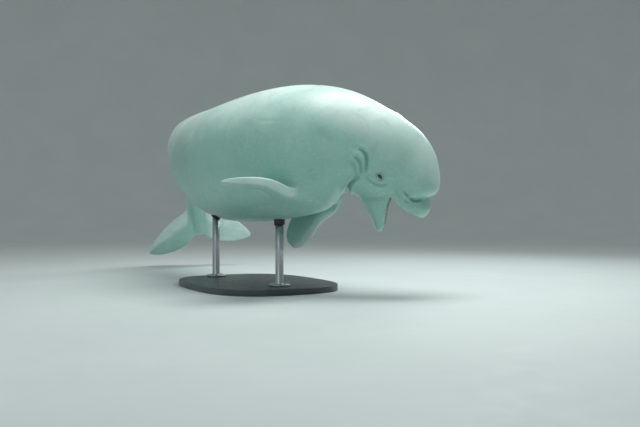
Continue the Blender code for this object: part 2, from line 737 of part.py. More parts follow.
def finish_node(name, shape, look):
    """Make a node of a closed shape."""
    mesh = bpy.data.meshes.new(name)
    for face in shape.faces:
        face.material_index = 0
    bmesh.ops.triangulate(shape, faces=shape.faces)
    shape.to_mesh(mesh)
    shape.free()
    thing = link(name, mesh)
    set_look(thing, look)
    return thing


def set_look(thing, look):
    name, colour, roughness, metallic = look
    material = bpy.data.materials.get(name)
    if material is None:
        material = bpy.data.materials.new(name)
        material.use_nodes = True
        surface = material.node_tree.nodes["Principled BSDF"]
        surface.inputs["Base Color"].default_value = (*colour, 1.0)
        surface.inputs["Roughness"].default_value = roughness
        surface.inputs["Metallic"].default_value = metallic
    thing.data.materials.clear()
    thing.data.materials.append(material)


def part_body(shape, spine):
    """Part the trunk square to the spine, from the head back."""
    nodes = {}
    for name, place in BODY_CUTS:
        if place is None:
            nodes[name] = finish_node(name, shape, SKIN)
            break
        point = spine.point(place, 0.0, 0.0)
        normal = spine.read(spine.forward, place)
        front = shape.copy()
        for piece, keep_front in ((front, True), (shape, False)):
            shift = GAP / 2 if keep_front else -GAP / 2
            bmesh.ops.bisect_plane(
                piece, geom=piece.verts[:] + piece.edges[:] + piece.faces[:], dist=ON_PLANE,
                plane_co=Vector(point + normal * shift), plane_no=Vector(normal),
                clear_inner=keep_front, clear_outer=not keep_front,
            )
            cap(piece)
        nodes[name] = finish_node(name, front, SKIN)
    return nodes


def keep_largest(thing):
    """Keep only the largest closed surface of a node."""
    shape = bmesh.new()
    shape.from_mesh(thing.data)
    left = set(shape.faces)
    groups = []
    while left:
        queue = [left.pop()]
        group = list(queue)
        while queue:
            face = queue.pop()
            for edge in face.edges:
                for other in edge.link_faces:
                    if other in left:
                        left.discard(other)
                        queue.append(other)
                        group.append(other)
        groups.append(group)
    groups.sort(key=len)
    for group in groups[:-1]:
        bmesh.ops.delete(shape, geom=group, context="FACES")
    shape.to_mesh(thing.data)
    shape.free()


def combine(thing, others, operation, solver="EXACT"):
    """Join pieces to a node, or cut them out of it, in one Boolean."""
    group = bpy.data.collections.new("pieces")
    bpy.context.scene.collection.children.link(group)
    for other in others:
        group.objects.link(other)
    join = thing.modifiers.new("Join", "BOOLEAN")
    join.operation = operation
    join.operand_type = "COLLECTION"
    join.collection = group
    join.solver = solver
    settle(thing)
    for other in others:
        bpy.data.objects.remove(other, do_unlink=True)
    bpy.data.collections.remove(group)
    keep_largest(thing)


def copy_of(thing):
    return link(thing.name + "_copy", thing.data.copy())


def prism(name, outline, half_width, spine):
    """A cutter across the head: an outline in the head's side view, as wide as asked."""
    shape = bmesh.new()
    sides = []
    for side in (-half_width, half_width):
        sides.append([
            shape.verts.new(spine.head_point(behind, side, height)) for behind, height in outline
        ])
    shape.faces.new(sides[0])
    shape.faces.new(sides[1][::-1])
    for i in range(len(outline)):
        j = (i + 1) % len(outline)
        shape.faces.new((sides[0][i], sides[1][i], sides[1][j], sides[0][j]))
    bmesh.ops.recalc_face_normals(shape, faces=shape.faces)
    mesh = bpy.data.meshes.new(name)
    shape.to_mesh(mesh)
    shape.free()
    return link(name, mesh)


def jaw_cutter(spine, shift):
    """Everything below the jaw's parting plane, which may be moved square to itself."""
    hinge, back = np.array(JAW_HINGE), np.array(JAW_BACK)
    along = unit(back - hinge)
    across = np.array((along[1], -along[0])) * shift
    outline = [tuple(hinge - across), tuple(back - across)] + list(JAW_CLEAR)
    return prism("jaw_cutter", outline, JAW_CUTTER_HALF_WIDTH, spine)


def part_jaw(head, spine):
    """Part the lower jaw from the head along the plane through the mouth's corners."""
    jaw = link("lower_jaw", head.data.copy())
    combine(jaw, [jaw_cutter(spine, -GAP / 2)], "INTERSECT")
    combine(head, [jaw_cutter(spine, GAP / 2)], "DIFFERENCE")
    set_look(jaw, SKIN)
    return jaw


def ball(name, matrix, segments):
    """A unit ball under a matrix."""
    around, rows = segments
    shape = bmesh.new()
    bmesh.ops.create_uvsphere(shape, u_segments=around, v_segments=rows, radius=1.0)
    bmesh.ops.transform(shape, matrix=matrix, verts=shape.verts)
    mesh = bpy.data.meshes.new(name)
    shape.to_mesh(mesh)
    shape.free()
    return link(name, mesh)


def frame_matrix(origin, x_axis, y_axis, z_axis):
    matrix = Matrix.Identity(4)
    for column, vector in enumerate((x_axis, y_axis, z_axis, origin)):
        for row in range(3):
            matrix[row][column] = float(vector[row])
    return matrix


def skin_spot(tree, start, direction):
    """Where a ray meets the skin, and the outward direction there."""
    spot, normal, _, _ = tree.ray_cast(Vector(start), Vector(direction).normalized())
    return np.array(spot), np.array(normal)


def raise_mound(shape, frame, mound):
    """Lift the skin round a spot into a low, soft mound, longer than it is wide."""
    half_length, half_width, height = mound
    inverse = frame.inverted()
    normal = frame.to_3x3().col[2]
    for vert in shape.verts:
        local = inverse @ vert.co
        away = math.hypot(local.x / half_length, local.y / half_width)
        if away < 1.0 and abs(local.z) < half_length:
            vert.co += normal * height * (1.0 - away * away) ** 2


def plug(name, outline, matrix, low, high):
    """A closed plug with a flat outline, from a low to a high level along the frame's third axis."""
    shape = bmesh.new()
    lower = [shape.verts.new((x, y, low)) for x, y in outline]
    upper = [shape.verts.new((x, y, high)) for x, y in outline]
    shape.faces.new(lower[::-1])
    shape.faces.new(upper)
    for i in range(len(outline)):
        j = (i + 1) % len(outline)
        shape.faces.new((lower[i], lower[j], upper[j], upper[i]))
    bmesh.ops.recalc_face_normals(shape, faces=shape.faces)
    bmesh.ops.transform(shape, matrix=matrix, verts=shape.verts)
    mesh = bpy.data.meshes.new(name)
    shape.to_mesh(mesh)
    shape.free()
    return link(name, mesh)


def eye_frame(tree, spine, side):
    """The eye's place on the skin: matrix with the third axis outward and the first one forward."""
    start = spine.head_point(EYE_BEHIND, side * RAY_START, EYE_HEIGHT)
    inward = -side * spine.read(spine.right, EYE_BEHIND)
    spot, normal = skin_spot(tree, start, inward)
    forward = spine.read(spine.forward, EYE_BEHIND)
    up = spine.read(spine.up, EYE_BEHIND)
    tilt = math.radians(EYE_TILT)
    along = forward * math.cos(tilt) - up * math.sin(tilt)
    along = unit(along - normal * np.dot(along, normal))
    return frame_matrix(spot, along, np.cross(normal, along), normal)


def blowhole_frame(tree, spine):
    """The blowhole's place on top of the head: first axis to the right, second forward."""
    start = spine.head_point(BLOWHOLE_BEHIND, BLOWHOLE_SIDE, RAY_START)
    spot, normal = skin_spot(tree, start, -spine.read(spine.up, BLOWHOLE_BEHIND))
    forward = spine.read(spine.forward, BLOWHOLE_BEHIND)
    forward = unit(forward - normal * np.dot(forward, normal))
    return frame_matrix(spot, np.cross(forward, normal), forward, normal)


def almond(half_length, half_height):
    """An almond outline with sharp corners, counter-clockwise."""
    upper = []
    for i in range(LID_POINTS):
        t = -1.0 + 2.0 * i / (LID_POINTS - 1)
        upper.append((t * half_length, half_height * (1.0 - t * t)))
    lower = [(x, -LOWER_LID_BOW * y) for x, y in upper[1:-1]]
    return lower + upper[::-1]


def add_eye(head, name, frame):
    """A socket under the skin, an almond opening between the lids, and the eye ball."""
    middle = frame @ Matrix.Translation((0.0, 0.0, -EYE_DEPTH))
    socket = ball("socket", middle @ Matrix.Scale(EYE_RADIUS + GAP, 4), EYE_SEGMENTS)
    slit = plug("slit", almond(*EYE_OPENING), middle, 0.0, SLIT_REACH)
    combine(head, [socket, slit], "DIFFERENCE", "MANIFOLD")
    eye = ball(name, middle @ Matrix.Scale(EYE_RADIUS, 4), EYE_SEGMENTS)
    set_look(eye, EYE)


def cut_blowhole(head, frame):
    """A crescent slit whose hollow side faces forward."""
    front, rear = [], []
    for i in range(BLOWHOLE_STEPS + 1):
        t = -1.0 + 2.0 * i / BLOWHOLE_STEPS
        bow = BLOWHOLE_BOW * (0.5 - t * t)
        breadth = BLOWHOLE_HALF_BREADTH * math.sqrt(max(1.0 - t * t, 0.0)) + BLOWHOLE_END
        front.append((t * BLOWHOLE_HALF_WIDTH, -bow + breadth))
        rear.append((t * BLOWHOLE_HALF_WIDTH, -bow - breadth))
    slit = plug("slit", rear + front[::-1], frame, -BLOWHOLE_DEPTH, SLIT_REACH)
    combine(head, [slit], "DIFFERENCE", "MANIFOLD")


def tooth(name, foot, direction):
    """A short peg with a rounded tip and a sunk root."""
    direction = unit(direction)
    side = unit(np.cross(direction, (0.0, 1.0, 0.0)))
    other = np.cross(direction, side)
    levels = [(-TOOTH_ROOT, 1.0)]
    levels += [(share * TOOTH_HEIGHT, width) for share, width in TOOTH_RINGS]
    shape = bmesh.new()
    previous = None
    for level, width in levels:
        ring = []
        for i in range(TOOTH_SIDES):
            angle = 2.0 * math.pi * i / TOOTH_SIDES
            spoke = side * math.cos(angle) + other * math.sin(angle)
            ring.append(shape.verts.new(foot + direction * level + spoke * TOOTH_RADIUS * width))
        if previous is None:
            shape.faces.new(ring[::-1])
        else:
            for i in range(TOOTH_SIDES):
                j = (i + 1) % TOOTH_SIDES
                shape.faces.new((previous[i], previous[j], ring[j], ring[i]))
        previous = ring
    shape.faces.new(previous)
    bmesh.ops.recalc_face_normals(shape, faces=shape.faces)
    mesh = bpy.data.meshes.new(name)
    shape.to_mesh(mesh)
    shape.free()
    return link(name, mesh)


def tooth_row(spine, upper):
    """Pegs along the gum of one jaw, from near one corner round the front to the other."""
    teeth = []
    forward, up = spine.read(spine.forward, 0.0), spine.read(spine.up, 0.0)
    for i in range(2 * TEETH):
        t = (i + 0.5) / (2 * TEETH)
        swing = math.pi * (TOOTH_SWING[0] + TOOTH_SWING[1] * t)
        share = TOOTH_SHARE[0] + TOOTH_SHARE[1] * math.sin(swing)
        side = math.copysign(1.0, math.cos(swing)) * (mouth_width(share) - GUM_INWARD)
        if upper:
            away = UPPER_OPENING[1]
            back, raised = UPPER_TOOTH_SHIFT
            behind, _, height = upper_lip_point(LIP_REACH * (1.0 - share) + back)
        else:
            away = LOWER_OPENING[1]
            back, raised = LOWER_TOOTH_SHIFT
            height = -LOWER_REACH * share
            heights = [-place[1] for place in LOWER_LIP]
            behind = back + np.interp(-height - raised, heights, [place[0] for place in LOWER_LIP])
            side *= LOWER_TOOTH_NARROW
        foot = spine.head_point(behind, side, height + raised)
        teeth.append(tooth("tooth", foot, up * away[2] - forward * away[0]))
    return teeth


def add_tongue(head, jaw, spine):
    """The tongue, cut to the floor of the mouth and lifted clear of it."""
    slope = math.radians(TONGUE_SLOPE)
    forward, up = spine.read(spine.forward, 0.0), spine.read(spine.up, 0.0)
    along = forward * math.cos(slope) - up * math.sin(slope)
    lift = forward * math.sin(slope) + up * math.cos(slope)
    middle = spine.head_point(TONGUE_MIDDLE[0], 0.0, TONGUE_MIDDLE[1])
    frame = frame_matrix(middle, along, np.cross(lift, along), lift)
    tongue = ball("tongue", frame @ Matrix.Diagonal((*TONGUE_HALF, 1.0)), TONGUE_SEGMENTS)
    combine(tongue, [copy_of(head), copy_of(jaw)], "DIFFERENCE")
    tongue.data.transform(Matrix.Translation(Vector(lift * GAP)))
    set_look(tongue, MOUTH)


def add_base():
    """The flat base, a rounded rectangle with a small bevel, its underside on the floor."""
    turn = math.radians(BASE_TURN)
    outline = []
    for i in range(BASE_SIDES):
        angle = 2.0 * math.pi * i / BASE_SIDES
        c, s = math.cos(angle), math.sin(angle)
        x = BASE_HALF[0] * math.copysign(abs(c) ** (2.0 / BASE_CORNER), c)
        y = BASE_HALF[1] * math.copysign(abs(s) ** (2.0 / BASE_CORNER), s)
        outline.append((x, y))
    frame = Matrix.Rotation(turn, 4, "Z")
    base = plug("stand_base", outline, frame, 0.0, BASE_HEIGHT)
    shape = bmesh.new()
    shape.from_mesh(base.data)
    rim = [e for e in shape.edges if all(v.co.z > BASE_HEIGHT / 2 for v in e.verts)]
    bmesh.ops.bevel(
        shape, geom=rim, offset=BASE_EDGE, segments=BASE_EDGE_STEPS, affect="EDGES", profile=0.5
    )
    shape.to_mesh(base.data)
    shape.free()
    set_look(base, STAND)


def add_rod(name, spine, place, holders):
    """A round rod with a foot, from the base up to the belly, whose shape its top takes."""
    spot = spine.point(place, 0.0, 0.0)
    low = BASE_HEIGHT + 2 * GAP
    levels = (
        (low, ROD_FOOT_RADIUS), (low + ROD_FOOT_HEIGHT, ROD_FOOT_RADIUS),
        (low + ROD_FOOT_HEIGHT, ROD_RADIUS), (spot[2], ROD_RADIUS),
    )
    shape = bmesh.new()
    previous = None
    for level, radius in levels:
        ring = []
        for i in range(ROD_SIDES):
            angle = 2.0 * math.pi * i / ROD_SIDES
            ring.append(shape.verts.new((
                spot[0] + radius * math.cos(angle), spot[1] + radius * math.sin(angle), level
            )))
        if previous is None:
            shape.faces.new(ring[::-1])
        else:
            for i in range(ROD_SIDES):
                j = (i + 1) % ROD_SIDES
                shape.faces.new((previous[i], previous[j], ring[j], ring[i]))
        previous = ring
    shape.faces.new(previous)
    bmesh.ops.recalc_face_normals(shape, faces=shape.faces)
    mesh = bpy.data.meshes.new(name)
    shape.to_mesh(mesh)
    shape.free()
    rod = link(name, mesh)
    combine(rod, [copy_of(holder) for holder in holders], "DIFFERENCE")
    rod.data.transform(Matrix.Translation((0.0, 0.0, -GAP)))
    set_look(rod, ROD)


def main():
    for thing in list(bpy.data.objects):
        bpy.data.objects.remove(thing, do_unlink=True)
    cage, spine = build_cage()
    shape = skin_mesh(cage)
    tree = BVHTree.FromBMesh(shape)
    for side in (1.0, -1.0):
        raise_mound(shape, eye_frame(tree, spine, side), LID_MOUND)
    raise_mound(shape, blowhole_frame(tree, spine), BLOWHOLE_MOUND)
    tree = BVHTree.FromBMesh(shape)
    eyes = {"eye_right": eye_frame(tree, spine, 1.0), "eye_left": eye_frame(tree, spine, -1.0)}
    blowhole = blowhole_frame(tree, spine)
    part_limbs(shape, cage, spine)
    nodes = part_body(shape, spine)
    head = nodes["head"]
    jaw = part_jaw(head, spine)
    add_tongue(head, jaw, spine)
    combine(head, tooth_row(spine, True), "UNION", "MANIFOLD")
    combine(jaw, tooth_row(spine, False), "UNION", "MANIFOLD")
    for name, frame in eyes.items():
        add_eye(head, name, frame)
    cut_blowhole(head, blowhole)
    add_base()
    add_rod("stand_rod_front", spine, ROD_PLACES[0], [nodes["chest"]])
    add_rod("stand_rod_rear", spine, ROD_PLACES[1], [nodes["abdomen"]])


main()
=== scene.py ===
"""Looks of a life-size beluga whale model on its display stand.

Metres, +Z up, the same frame as the solids. The skin is built from the same cage as the solids,
smoothed further, and then folds, lids and furrows are pressed into it.
"""

import math

import bmesh
import bpy
import numpy as np
from mathutils import Matrix, Vector
from mathutils.bvhtree import BVHTree


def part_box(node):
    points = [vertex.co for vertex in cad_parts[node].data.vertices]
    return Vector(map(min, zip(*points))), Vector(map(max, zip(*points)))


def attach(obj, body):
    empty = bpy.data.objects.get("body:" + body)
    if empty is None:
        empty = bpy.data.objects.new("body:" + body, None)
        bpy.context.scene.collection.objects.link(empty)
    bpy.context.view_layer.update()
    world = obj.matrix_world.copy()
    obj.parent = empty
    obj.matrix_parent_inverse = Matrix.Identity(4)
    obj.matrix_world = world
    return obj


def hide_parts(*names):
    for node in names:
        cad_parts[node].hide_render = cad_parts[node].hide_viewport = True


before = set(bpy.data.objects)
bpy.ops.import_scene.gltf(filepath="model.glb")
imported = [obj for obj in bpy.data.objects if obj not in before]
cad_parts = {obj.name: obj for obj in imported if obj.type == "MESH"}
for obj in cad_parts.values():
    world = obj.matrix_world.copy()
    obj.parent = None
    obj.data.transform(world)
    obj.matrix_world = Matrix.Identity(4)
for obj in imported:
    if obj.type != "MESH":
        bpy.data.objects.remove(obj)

# The spine line starts above the beak tip and runs back. Each row of the two lists: distance along
# it, then the heading to the right of +X, or the pitch of the forward direction, in degrees.
SPINE_LENGTH = 4.2
SPINE_STEP = 0.005
SPINE_START = (1.080, -0.70, 0.500)
HEADING = (
    (0.0, 8.0), (0.45, 8.0), (0.70, 20.0), (1.0, 39.0), (1.4, 54.0), (1.9, 61.0),
    (2.4, 66.0), (2.8, 75.0), (3.2, 86.0), (4.2, 90.0),
)
PITCH = (
    (0.0, -30.0), (0.45, -30.0), (0.66, -10.0), (0.85, 2.0), (1.2, 4.0), (2.0, -2.0),
    (2.6, -5.0), (2.9, 10.0), (3.2, 36.0), (3.6, 42.0), (4.2, 38.0),
)
# Roll of the back towards the right side, in degrees.
ROLL = ((0.0, 0.0), (1.3, 0.0), (1.9, 8.0), (2.4, 24.0), (2.8, 34.0), (3.3, 24.0), (4.2, 4.0))

# Height of the low ridge that a beluga has on its back in place of a fin.
RIDGE = ((1.7, 0.0), (2.0, 0.022), (2.35, 0.034), (2.7, 0.026), (3.0, 0.0))

# Around the body every ring has this many points. Point 0 is at the waist on the right side, a
# quarter of the way is the back, half way the left waist, three quarters the belly.
RING = 24
HALF = RING // 2
QUARTER = RING // 4
# The spine line lies this far above the line of the closed mouth.
MOUTH_DROP = 0.13

# Rings of the body, each: distance along the spine at the waist, how far further back the belly
# point sits, half width, how far the upper half bulges past an ellipse, height of the back, depth
# of the belly, height of the waist point, the last three from the spine line.
BODY_RINGS = (
    (0.241, 0.165, 0.152, 0.050, 0.262, 0.250, -0.150),
    (0.275, 0.160, 0.170, 0.045, 0.274, 0.252, -0.142),
    (0.315, 0.150, 0.186, 0.040, 0.284, 0.254, -0.132),
    (0.360, 0.135, 0.200, 0.034, 0.290, 0.258, -0.120),
    (0.410, 0.110, 0.212, 0.028, 0.294, 0.266, -0.106),
    (0.470, 0.080, 0.226, 0.021, 0.299, 0.290, -0.090),
    (0.540, 0.052, 0.244, 0.014, 0.308, 0.330, -0.070),
    (0.620, 0.030, 0.268, 0.008, 0.330, 0.372, -0.050),
    (0.710, 0.015, 0.296, 0.003, 0.350, 0.402, -0.034),
    (0.810, 0.005, 0.324, 0.0, 0.366, 0.422, -0.022),
    (0.920, 0.0, 0.350, 0.0, 0.378, 0.438, -0.014),
    (1.040, 0.0, 0.370, 0.0, 0.384, 0.448, -0.008),
    (1.180, 0.0, 0.382, 0.0, 0.386, 0.454, -0.004),
    (1.340, 0.0, 0.388, 0.0, 0.386, 0.456, 0.0),
    (1.520, 0.0, 0.386, 0.0, 0.385, 0.450, 0.0),
    (1.720, 0.0, 0.374, 0.0, 0.380, 0.434, 0.0),
    (1.940, 0.0, 0.346, 0.0, 0.368, 0.406, 0.0),
    (2.180, 0.0, 0.300, 0.0, 0.346, 0.364, 0.0),
    (2.420, 0.0, 0.240, 0.0, 0.318, 0.314, 0.0),
    (2.660, 0.0, 0.180, 0.0, 0.286, 0.262, 0.0),
    (2.890, 0.0, 0.139, 0.0, 0.242, 0.212, 0.0),
    (3.120, 0.0, 0.110, 0.0, 0.190, 0.164, 0.0),
    (3.340, 0.0, 0.086, 0.0, 0.142, 0.121, 0.0),
    (3.540, 0.0, 0.065, 0.0, 0.099, 0.083, 0.0),
    (3.660, 0.0, 0.057, 0.0, 0.074, 0.062, 0.0),
    (3.760, 0.0, 0.054, 0.0, 0.054, 0.045, 0.0),
    (3.860, 0.0, 0.050, 0.0, 0.036, 0.030, 0.0),
    (3.935, 0.0, 0.034, 0.0, 0.022, 0.018, 0.0),
    (3.970, 0.0, 0.018, 0.0, 0.011, 0.009, 0.0),
)

# Midline of the upper head from the ring at the mouth corners over the melon, into the crease
# above the beak and down to the lip: distance behind the beak tip, height above the mouth line.
UPPER_MIDLINE = (
    (0.190, 0.368), (0.130, 0.328), (0.074, 0.270), (0.030, 0.204), (0.008, 0.146), (0.020, 0.108),
    (0.050, 0.090), (0.020, 0.066), (-0.001, 0.036), (-0.005, 0.004), (0.006, -0.026),
)
# Where those same rows meet the right upper lip: distance behind the beak tip.
UPPER_LIP = (0.235, 0.229, 0.222, 0.215, 0.207, 0.198, 0.187, 0.168, 0.143, 0.112, 0.078)
UPPER_LIP_DROP = 0.022
# Share of the upper lip, from the corner, over which it drops that far.
UPPER_LIP_SLOPE = 0.80
# How far each of those rows bulges sideways past a plain arc.
UPPER_BULGE = (0.052, 0.054, 0.054, 0.050, 0.042, 0.026, 0.008, 0.012, 0.016, 0.014, 0.006)
# Midline under the open lower jaw, from the throat to the lip at its tip.
LOWER_MIDLINE = (
    (0.374, -0.139), (0.336, -0.160), (0.298, -0.184), (0.262, -0.208), (0.232, -0.228),
    (0.208, -0.242), (0.192, -0.238),
)
# Where those rows meet the right lower lip: distance behind the beak tip, height.
LOWER_LIP = (
    (0.239, -0.045), (0.235, -0.072), (0.228, -0.100), (0.218, -0.128), (0.207, -0.155),
    (0.196, -0.181), (0.188, -0.206),
)
LOWER_BULGE = (0.022, 0.020, 0.018, 0.016, 0.012, 0.008, 0.004)
MOUTH_HALF_WIDTH = 0.150
# Power that makes the mouth's U rounder, and how much narrower the lower jaw's tip is.
MOUTH_ROUND = 2.6
LOWER_TAPER = 0.10
CORNER_HEIGHT = -0.020
LIP_REACH = 0.241
LOWER_REACH = 0.235
# Lips: how far the crest stands out past the edge of the skin, and how far in the gum line lies.
LIP_CREST = 0.020
LIP_INWARD = 0.010
GUM_INWARD = 0.024
GUM_DEPTH = 0.006
# Middle of each jaw's opening, which its lip leans to, and the direction out of it: behind, to the
# right and up.
UPPER_OPENING = ((0.170, 0.0, 0.0), (0.0, 0.0, -1.0))
LOWER_OPENING = ((0.250, 0.0, -0.080), (-0.80, 0.0, 0.60))
# Midline of the mouth's lining, from the upper gum back to the throat and out to the lower gum.
PALATE_FRONT = (0.040, -0.004)
PALATE_MIDDLE = (0.180, 0.040)
THROAT = (0.350, -0.035)
FLOOR_MIDDLE = (0.262, -0.110)
FLOOR_FRONT = (0.196, -0.192)
# Power that makes the lining's cross sections fuller than an ellipse.
LINING_FULLNESS = 0.8

# Points of a fin's section lie between these shares of its chord. Its half thickness follows the
# root of the share, times a fullness that makes it 1 at its fullest, and thins towards the rear.
FIN_SHARES = (0.07, 0.90)
FIN_FULLNESS = 2.6
FIN_THINNING = 0.28

# A flipper grows from a patch of the ring grid: its first ring, its number of rows, and the three
# columns that bound the right and the left one.
FLIPPER_ROW = 8
FLIPPER_ROWS = 3
FLIPPER_COLUMN = 20
RIGHT_COLUMNS = (FLIPPER_COLUMN, FLIPPER_COLUMN + 1, FLIPPER_COLUMN + 2)
LEFT_COLUMNS = tuple((HALF - column) % RING for column in RIGHT_COLUMNS)
# Sections along a flipper: share of its length, chord, distance of the leading edge from the
# flipper's axis, half thickness.
FLIPPER_LENGTH = 0.48
FLIPPER_SECTIONS = (
    (0.08, 0.215, 0.110, 0.050), (0.18, 0.198, 0.100, 0.038), (0.30, 0.206, 0.098, 0.030),
    (0.45, 0.236, 0.107, 0.025),
    (0.60, 0.256, 0.114, 0.021), (0.75, 0.246, 0.108, 0.016), (0.87, 0.206, 0.090, 0.012),
    (0.95, 0.146, 0.062, 0.008), (0.99, 0.074, 0.032, 0.004),
)
# Directions of each flipper: out along its near half, out along its far half, and from its leading
# to its trailing edge.
RIGHT_FLIPPER = ((-0.62, -0.58, 0.50), (-0.92, -0.40, 0.02), (-0.46, 0.84, -0.20))
LEFT_FLIPPER = ((-0.78, 0.44, -0.44), (-0.55, 0.20, -0.81), (-0.40, 0.55, 0.65))
# A flipper leaves the flank at right angles. It has turned into its first direction at the first
# share of its length, and into the second one at the second share.
FLIPPER_TURNS = (0.27, 0.70)

# A fluke grows from a patch on each side of the tail stock.
FLUKE_ROW = 23
FLUKE_ROWS = 4
# Sections along a fluke, measured from the tail's own frame: distance out from the midline,
# leading edge and trailing edge as distances along the spine, half thickness, upward curve.
FLUKE_SECTIONS = (
    (0.076, 3.586, 4.032, 0.031, 0.000), (0.152, 3.642, 4.106, 0.026, 0.000),
    (0.240, 3.712, 4.148, 0.020, -0.002), (0.320, 3.790, 4.156, 0.016, -0.006),
    (0.395, 3.880, 4.142, 0.012, -0.014),
    (0.450, 3.968, 4.112, 0.008, -0.022), (0.474, 4.020, 4.092, 0.005, -0.025),
    (0.484, 4.052, 4.078, 0.003, -0.026),
)
# Distance along the spine of the tail's own frame.
FLUKE_FRAME = 3.76

# Eyes: how far behind and how high in the head's frame they sit, radius of the ball, tilt of the
# lids' opening in degrees, and the lids' soft mound as half length, half width and height.
EYE_BEHIND = 0.341
EYE_HEIGHT = 0.046
EYE_RADIUS = 0.019
EYE_TILT = 20.0
LID_MOUND = (0.060, 0.045, 0.008)
# Blowhole: how far behind and how far to the side it lies in the head's frame, half width and bow
# of the crescent, and its soft mound.
BLOWHOLE_BEHIND = 0.440
BLOWHOLE_SIDE = -0.012
BLOWHOLE_HALF_WIDTH = 0.036
BLOWHOLE_BOW = 0.018
BLOWHOLE_MOUND = (0.110, 0.085, 0.005)
# Rays that find the skin start this far out.
RAY_START = 0.8

# Teeth: pegs in each half of each jaw, their radius and height past the gum.
TEETH = 8
TOOTH_RADIUS = 0.0055
TOOTH_HEIGHT = 0.011
# A row of teeth swings round the mouth between these shares of half a turn. The share of the jaw's
# length that each tooth stands at runs from the first of these values to their sum.
TOOTH_SWING = (0.12, 0.76)
TOOTH_SHARE = (0.12, 0.78)
# How far behind the lip's edge the teeth of each jaw stand, and how far up into the gum.
UPPER_TOOTH_SHIFT = (0.012, 0.002)
LOWER_TOOTH_SHIFT = (0.004, 0.012)
LOWER_TOOTH_NARROW = 0.96
# Tongue: middle, half length, half width and half thickness, lying along the floor of the mouth.
TONGUE_MIDDLE = (0.262, -0.102)
TONGUE_HALF = (0.085, 0.060, 0.022)
TONGUE_SLOPE = 58.0

# Stand: a flat rounded base and two rods. Rods: distance along the spine that each holds.
BASE_HALF = (0.62, 0.46)
BASE_TURN = -62.0
BASE_CORNER = 3.0
BASE_HEIGHT = 0.040
ROD_PLACES = (1.12, 2.02)
ROD_RADIUS = 0.026
ROD_FOOT_RADIUS = 0.070
ROD_FOOT_HEIGHT = 0.014

# The skin of the looks is smoothed by this many subdivisions.
SKIN_LEVELS = 4
# How wet the crest of the lips and the gum line are, from 0 for skin to 1 for the palate.
LIP_WET = 0.20
GUM_WET = 0.72

# Sculpting of the skin: a tiny length, how many points of the spine are skipped in the first search
# and how many points of the skin are handled at once. Then the step along a fold, its reach in
# widths, the share of its length over which its ends fade, and the rolls beside it: distance and
# breadth in widths, and how high the far one is against the near one.
TINY = 1e-9
COARSE = 8
CHUNK = 20000
FOLD_STEP = 0.003
FOLD_REACH = 3.2
FOLD_FADE = 0.22
ROLL_OFFSET = 1.55
ROLL_WIDTH = 0.85
FAR_ROLL = 0.45
# A groove gets painted shade as dark as it is steep: its depth as a share of its width, from none to
# full.
SHADE_STEEPNESS = (0.22, 0.95)

# Easing of the roots of the fins: step along their outline, strength, then reach and rounds.
ROOT_STEP = 0.01
ROOT_EASE = 0.5
FLIPPER_EASE = (0.09, 60)
FLUKE_EASE = (0.13, 150)

# Folds of the skin on both sides: knots of (distance along the spine, angle round it in degrees, 0
# at the right waist and 90 on the back), then width, depth, height of the rolls beside it, and how
# far the roll leans over.
FOLDS = (
    # Raised roll and creases behind the eye, where the neck bends.
    (((0.545, -7.3), (0.508, -8.9), (0.484, -10.5), (0.452, -16.4), (0.440, -19.5)),
     0.013, -0.009, 0.0, 0.0),
    (((0.531, -0.8), (0.506, -0.1), (0.483, -1.0), (0.456, -7.2), (0.441, -14.8), (0.425, -22.4),
      (0.412, -27.1)), 0.012, 0.010, 0.006, 0.003),
    (((0.532, -9.8), (0.502, -12.7), (0.474, -17.4), (0.455, -24.4), (0.444, -33.7)),
     0.012, 0.008, 0.004, 0.0),
    (((0.534, -18.3), (0.504, -21.7), (0.475, -27.9), (0.459, -36.9), (0.470, -44.9)),
     0.013, 0.007, 0.004, 0.0),
    # Round the eye.
    (((0.418, -26.3), (0.399, -30.2), (0.371, -33.3), (0.340, -34.8), (0.318, -34.1),
      (0.295, -30.6), (0.283, -25.2)), 0.009, 0.005, 0.003, 0.0),
    (((0.313, -18.2), (0.291, -16.9), (0.255, -12.8)), 0.009, -0.004, 0.0, 0.0),
    # Crease above the beak, the side of the beak and the mouth's corner.
    (((0.052, -41.0), (0.074, -36.9), (0.097, -37.6), (0.122, -36.7), (0.153, -30.9),
      (0.176, -28.0), (0.195, -24.6)), 0.009, 0.008, 0.004, 0.0),
    (((0.109, -41.2), (0.140, -41.3), (0.174, -38.0), (0.206, -35.9), (0.231, -33.9)),
     0.008, 0.003, 0.002, 0.0),
    # Fine line on the flank and the soft valley in front of the flipper.
    (((1.002, 21.1), (0.962, 21.1), (0.923, 20.9), (0.875, 20.8)), 0.012, 0.0014, 0.0006, 0.0),
    (((0.661, 13.4), (0.686, 0.3), (0.712, -13.6), (0.746, -27.0), (0.773, -39.2)),
     0.085, 0.014, 0.0, 0.0),
    # Soft folds along the belly.
    (((1.350, -112.0), (1.700, -110.0), (2.100, -108.0), (2.500, -106.0)), 0.030, 0.008, 0.004, 0.0),
)
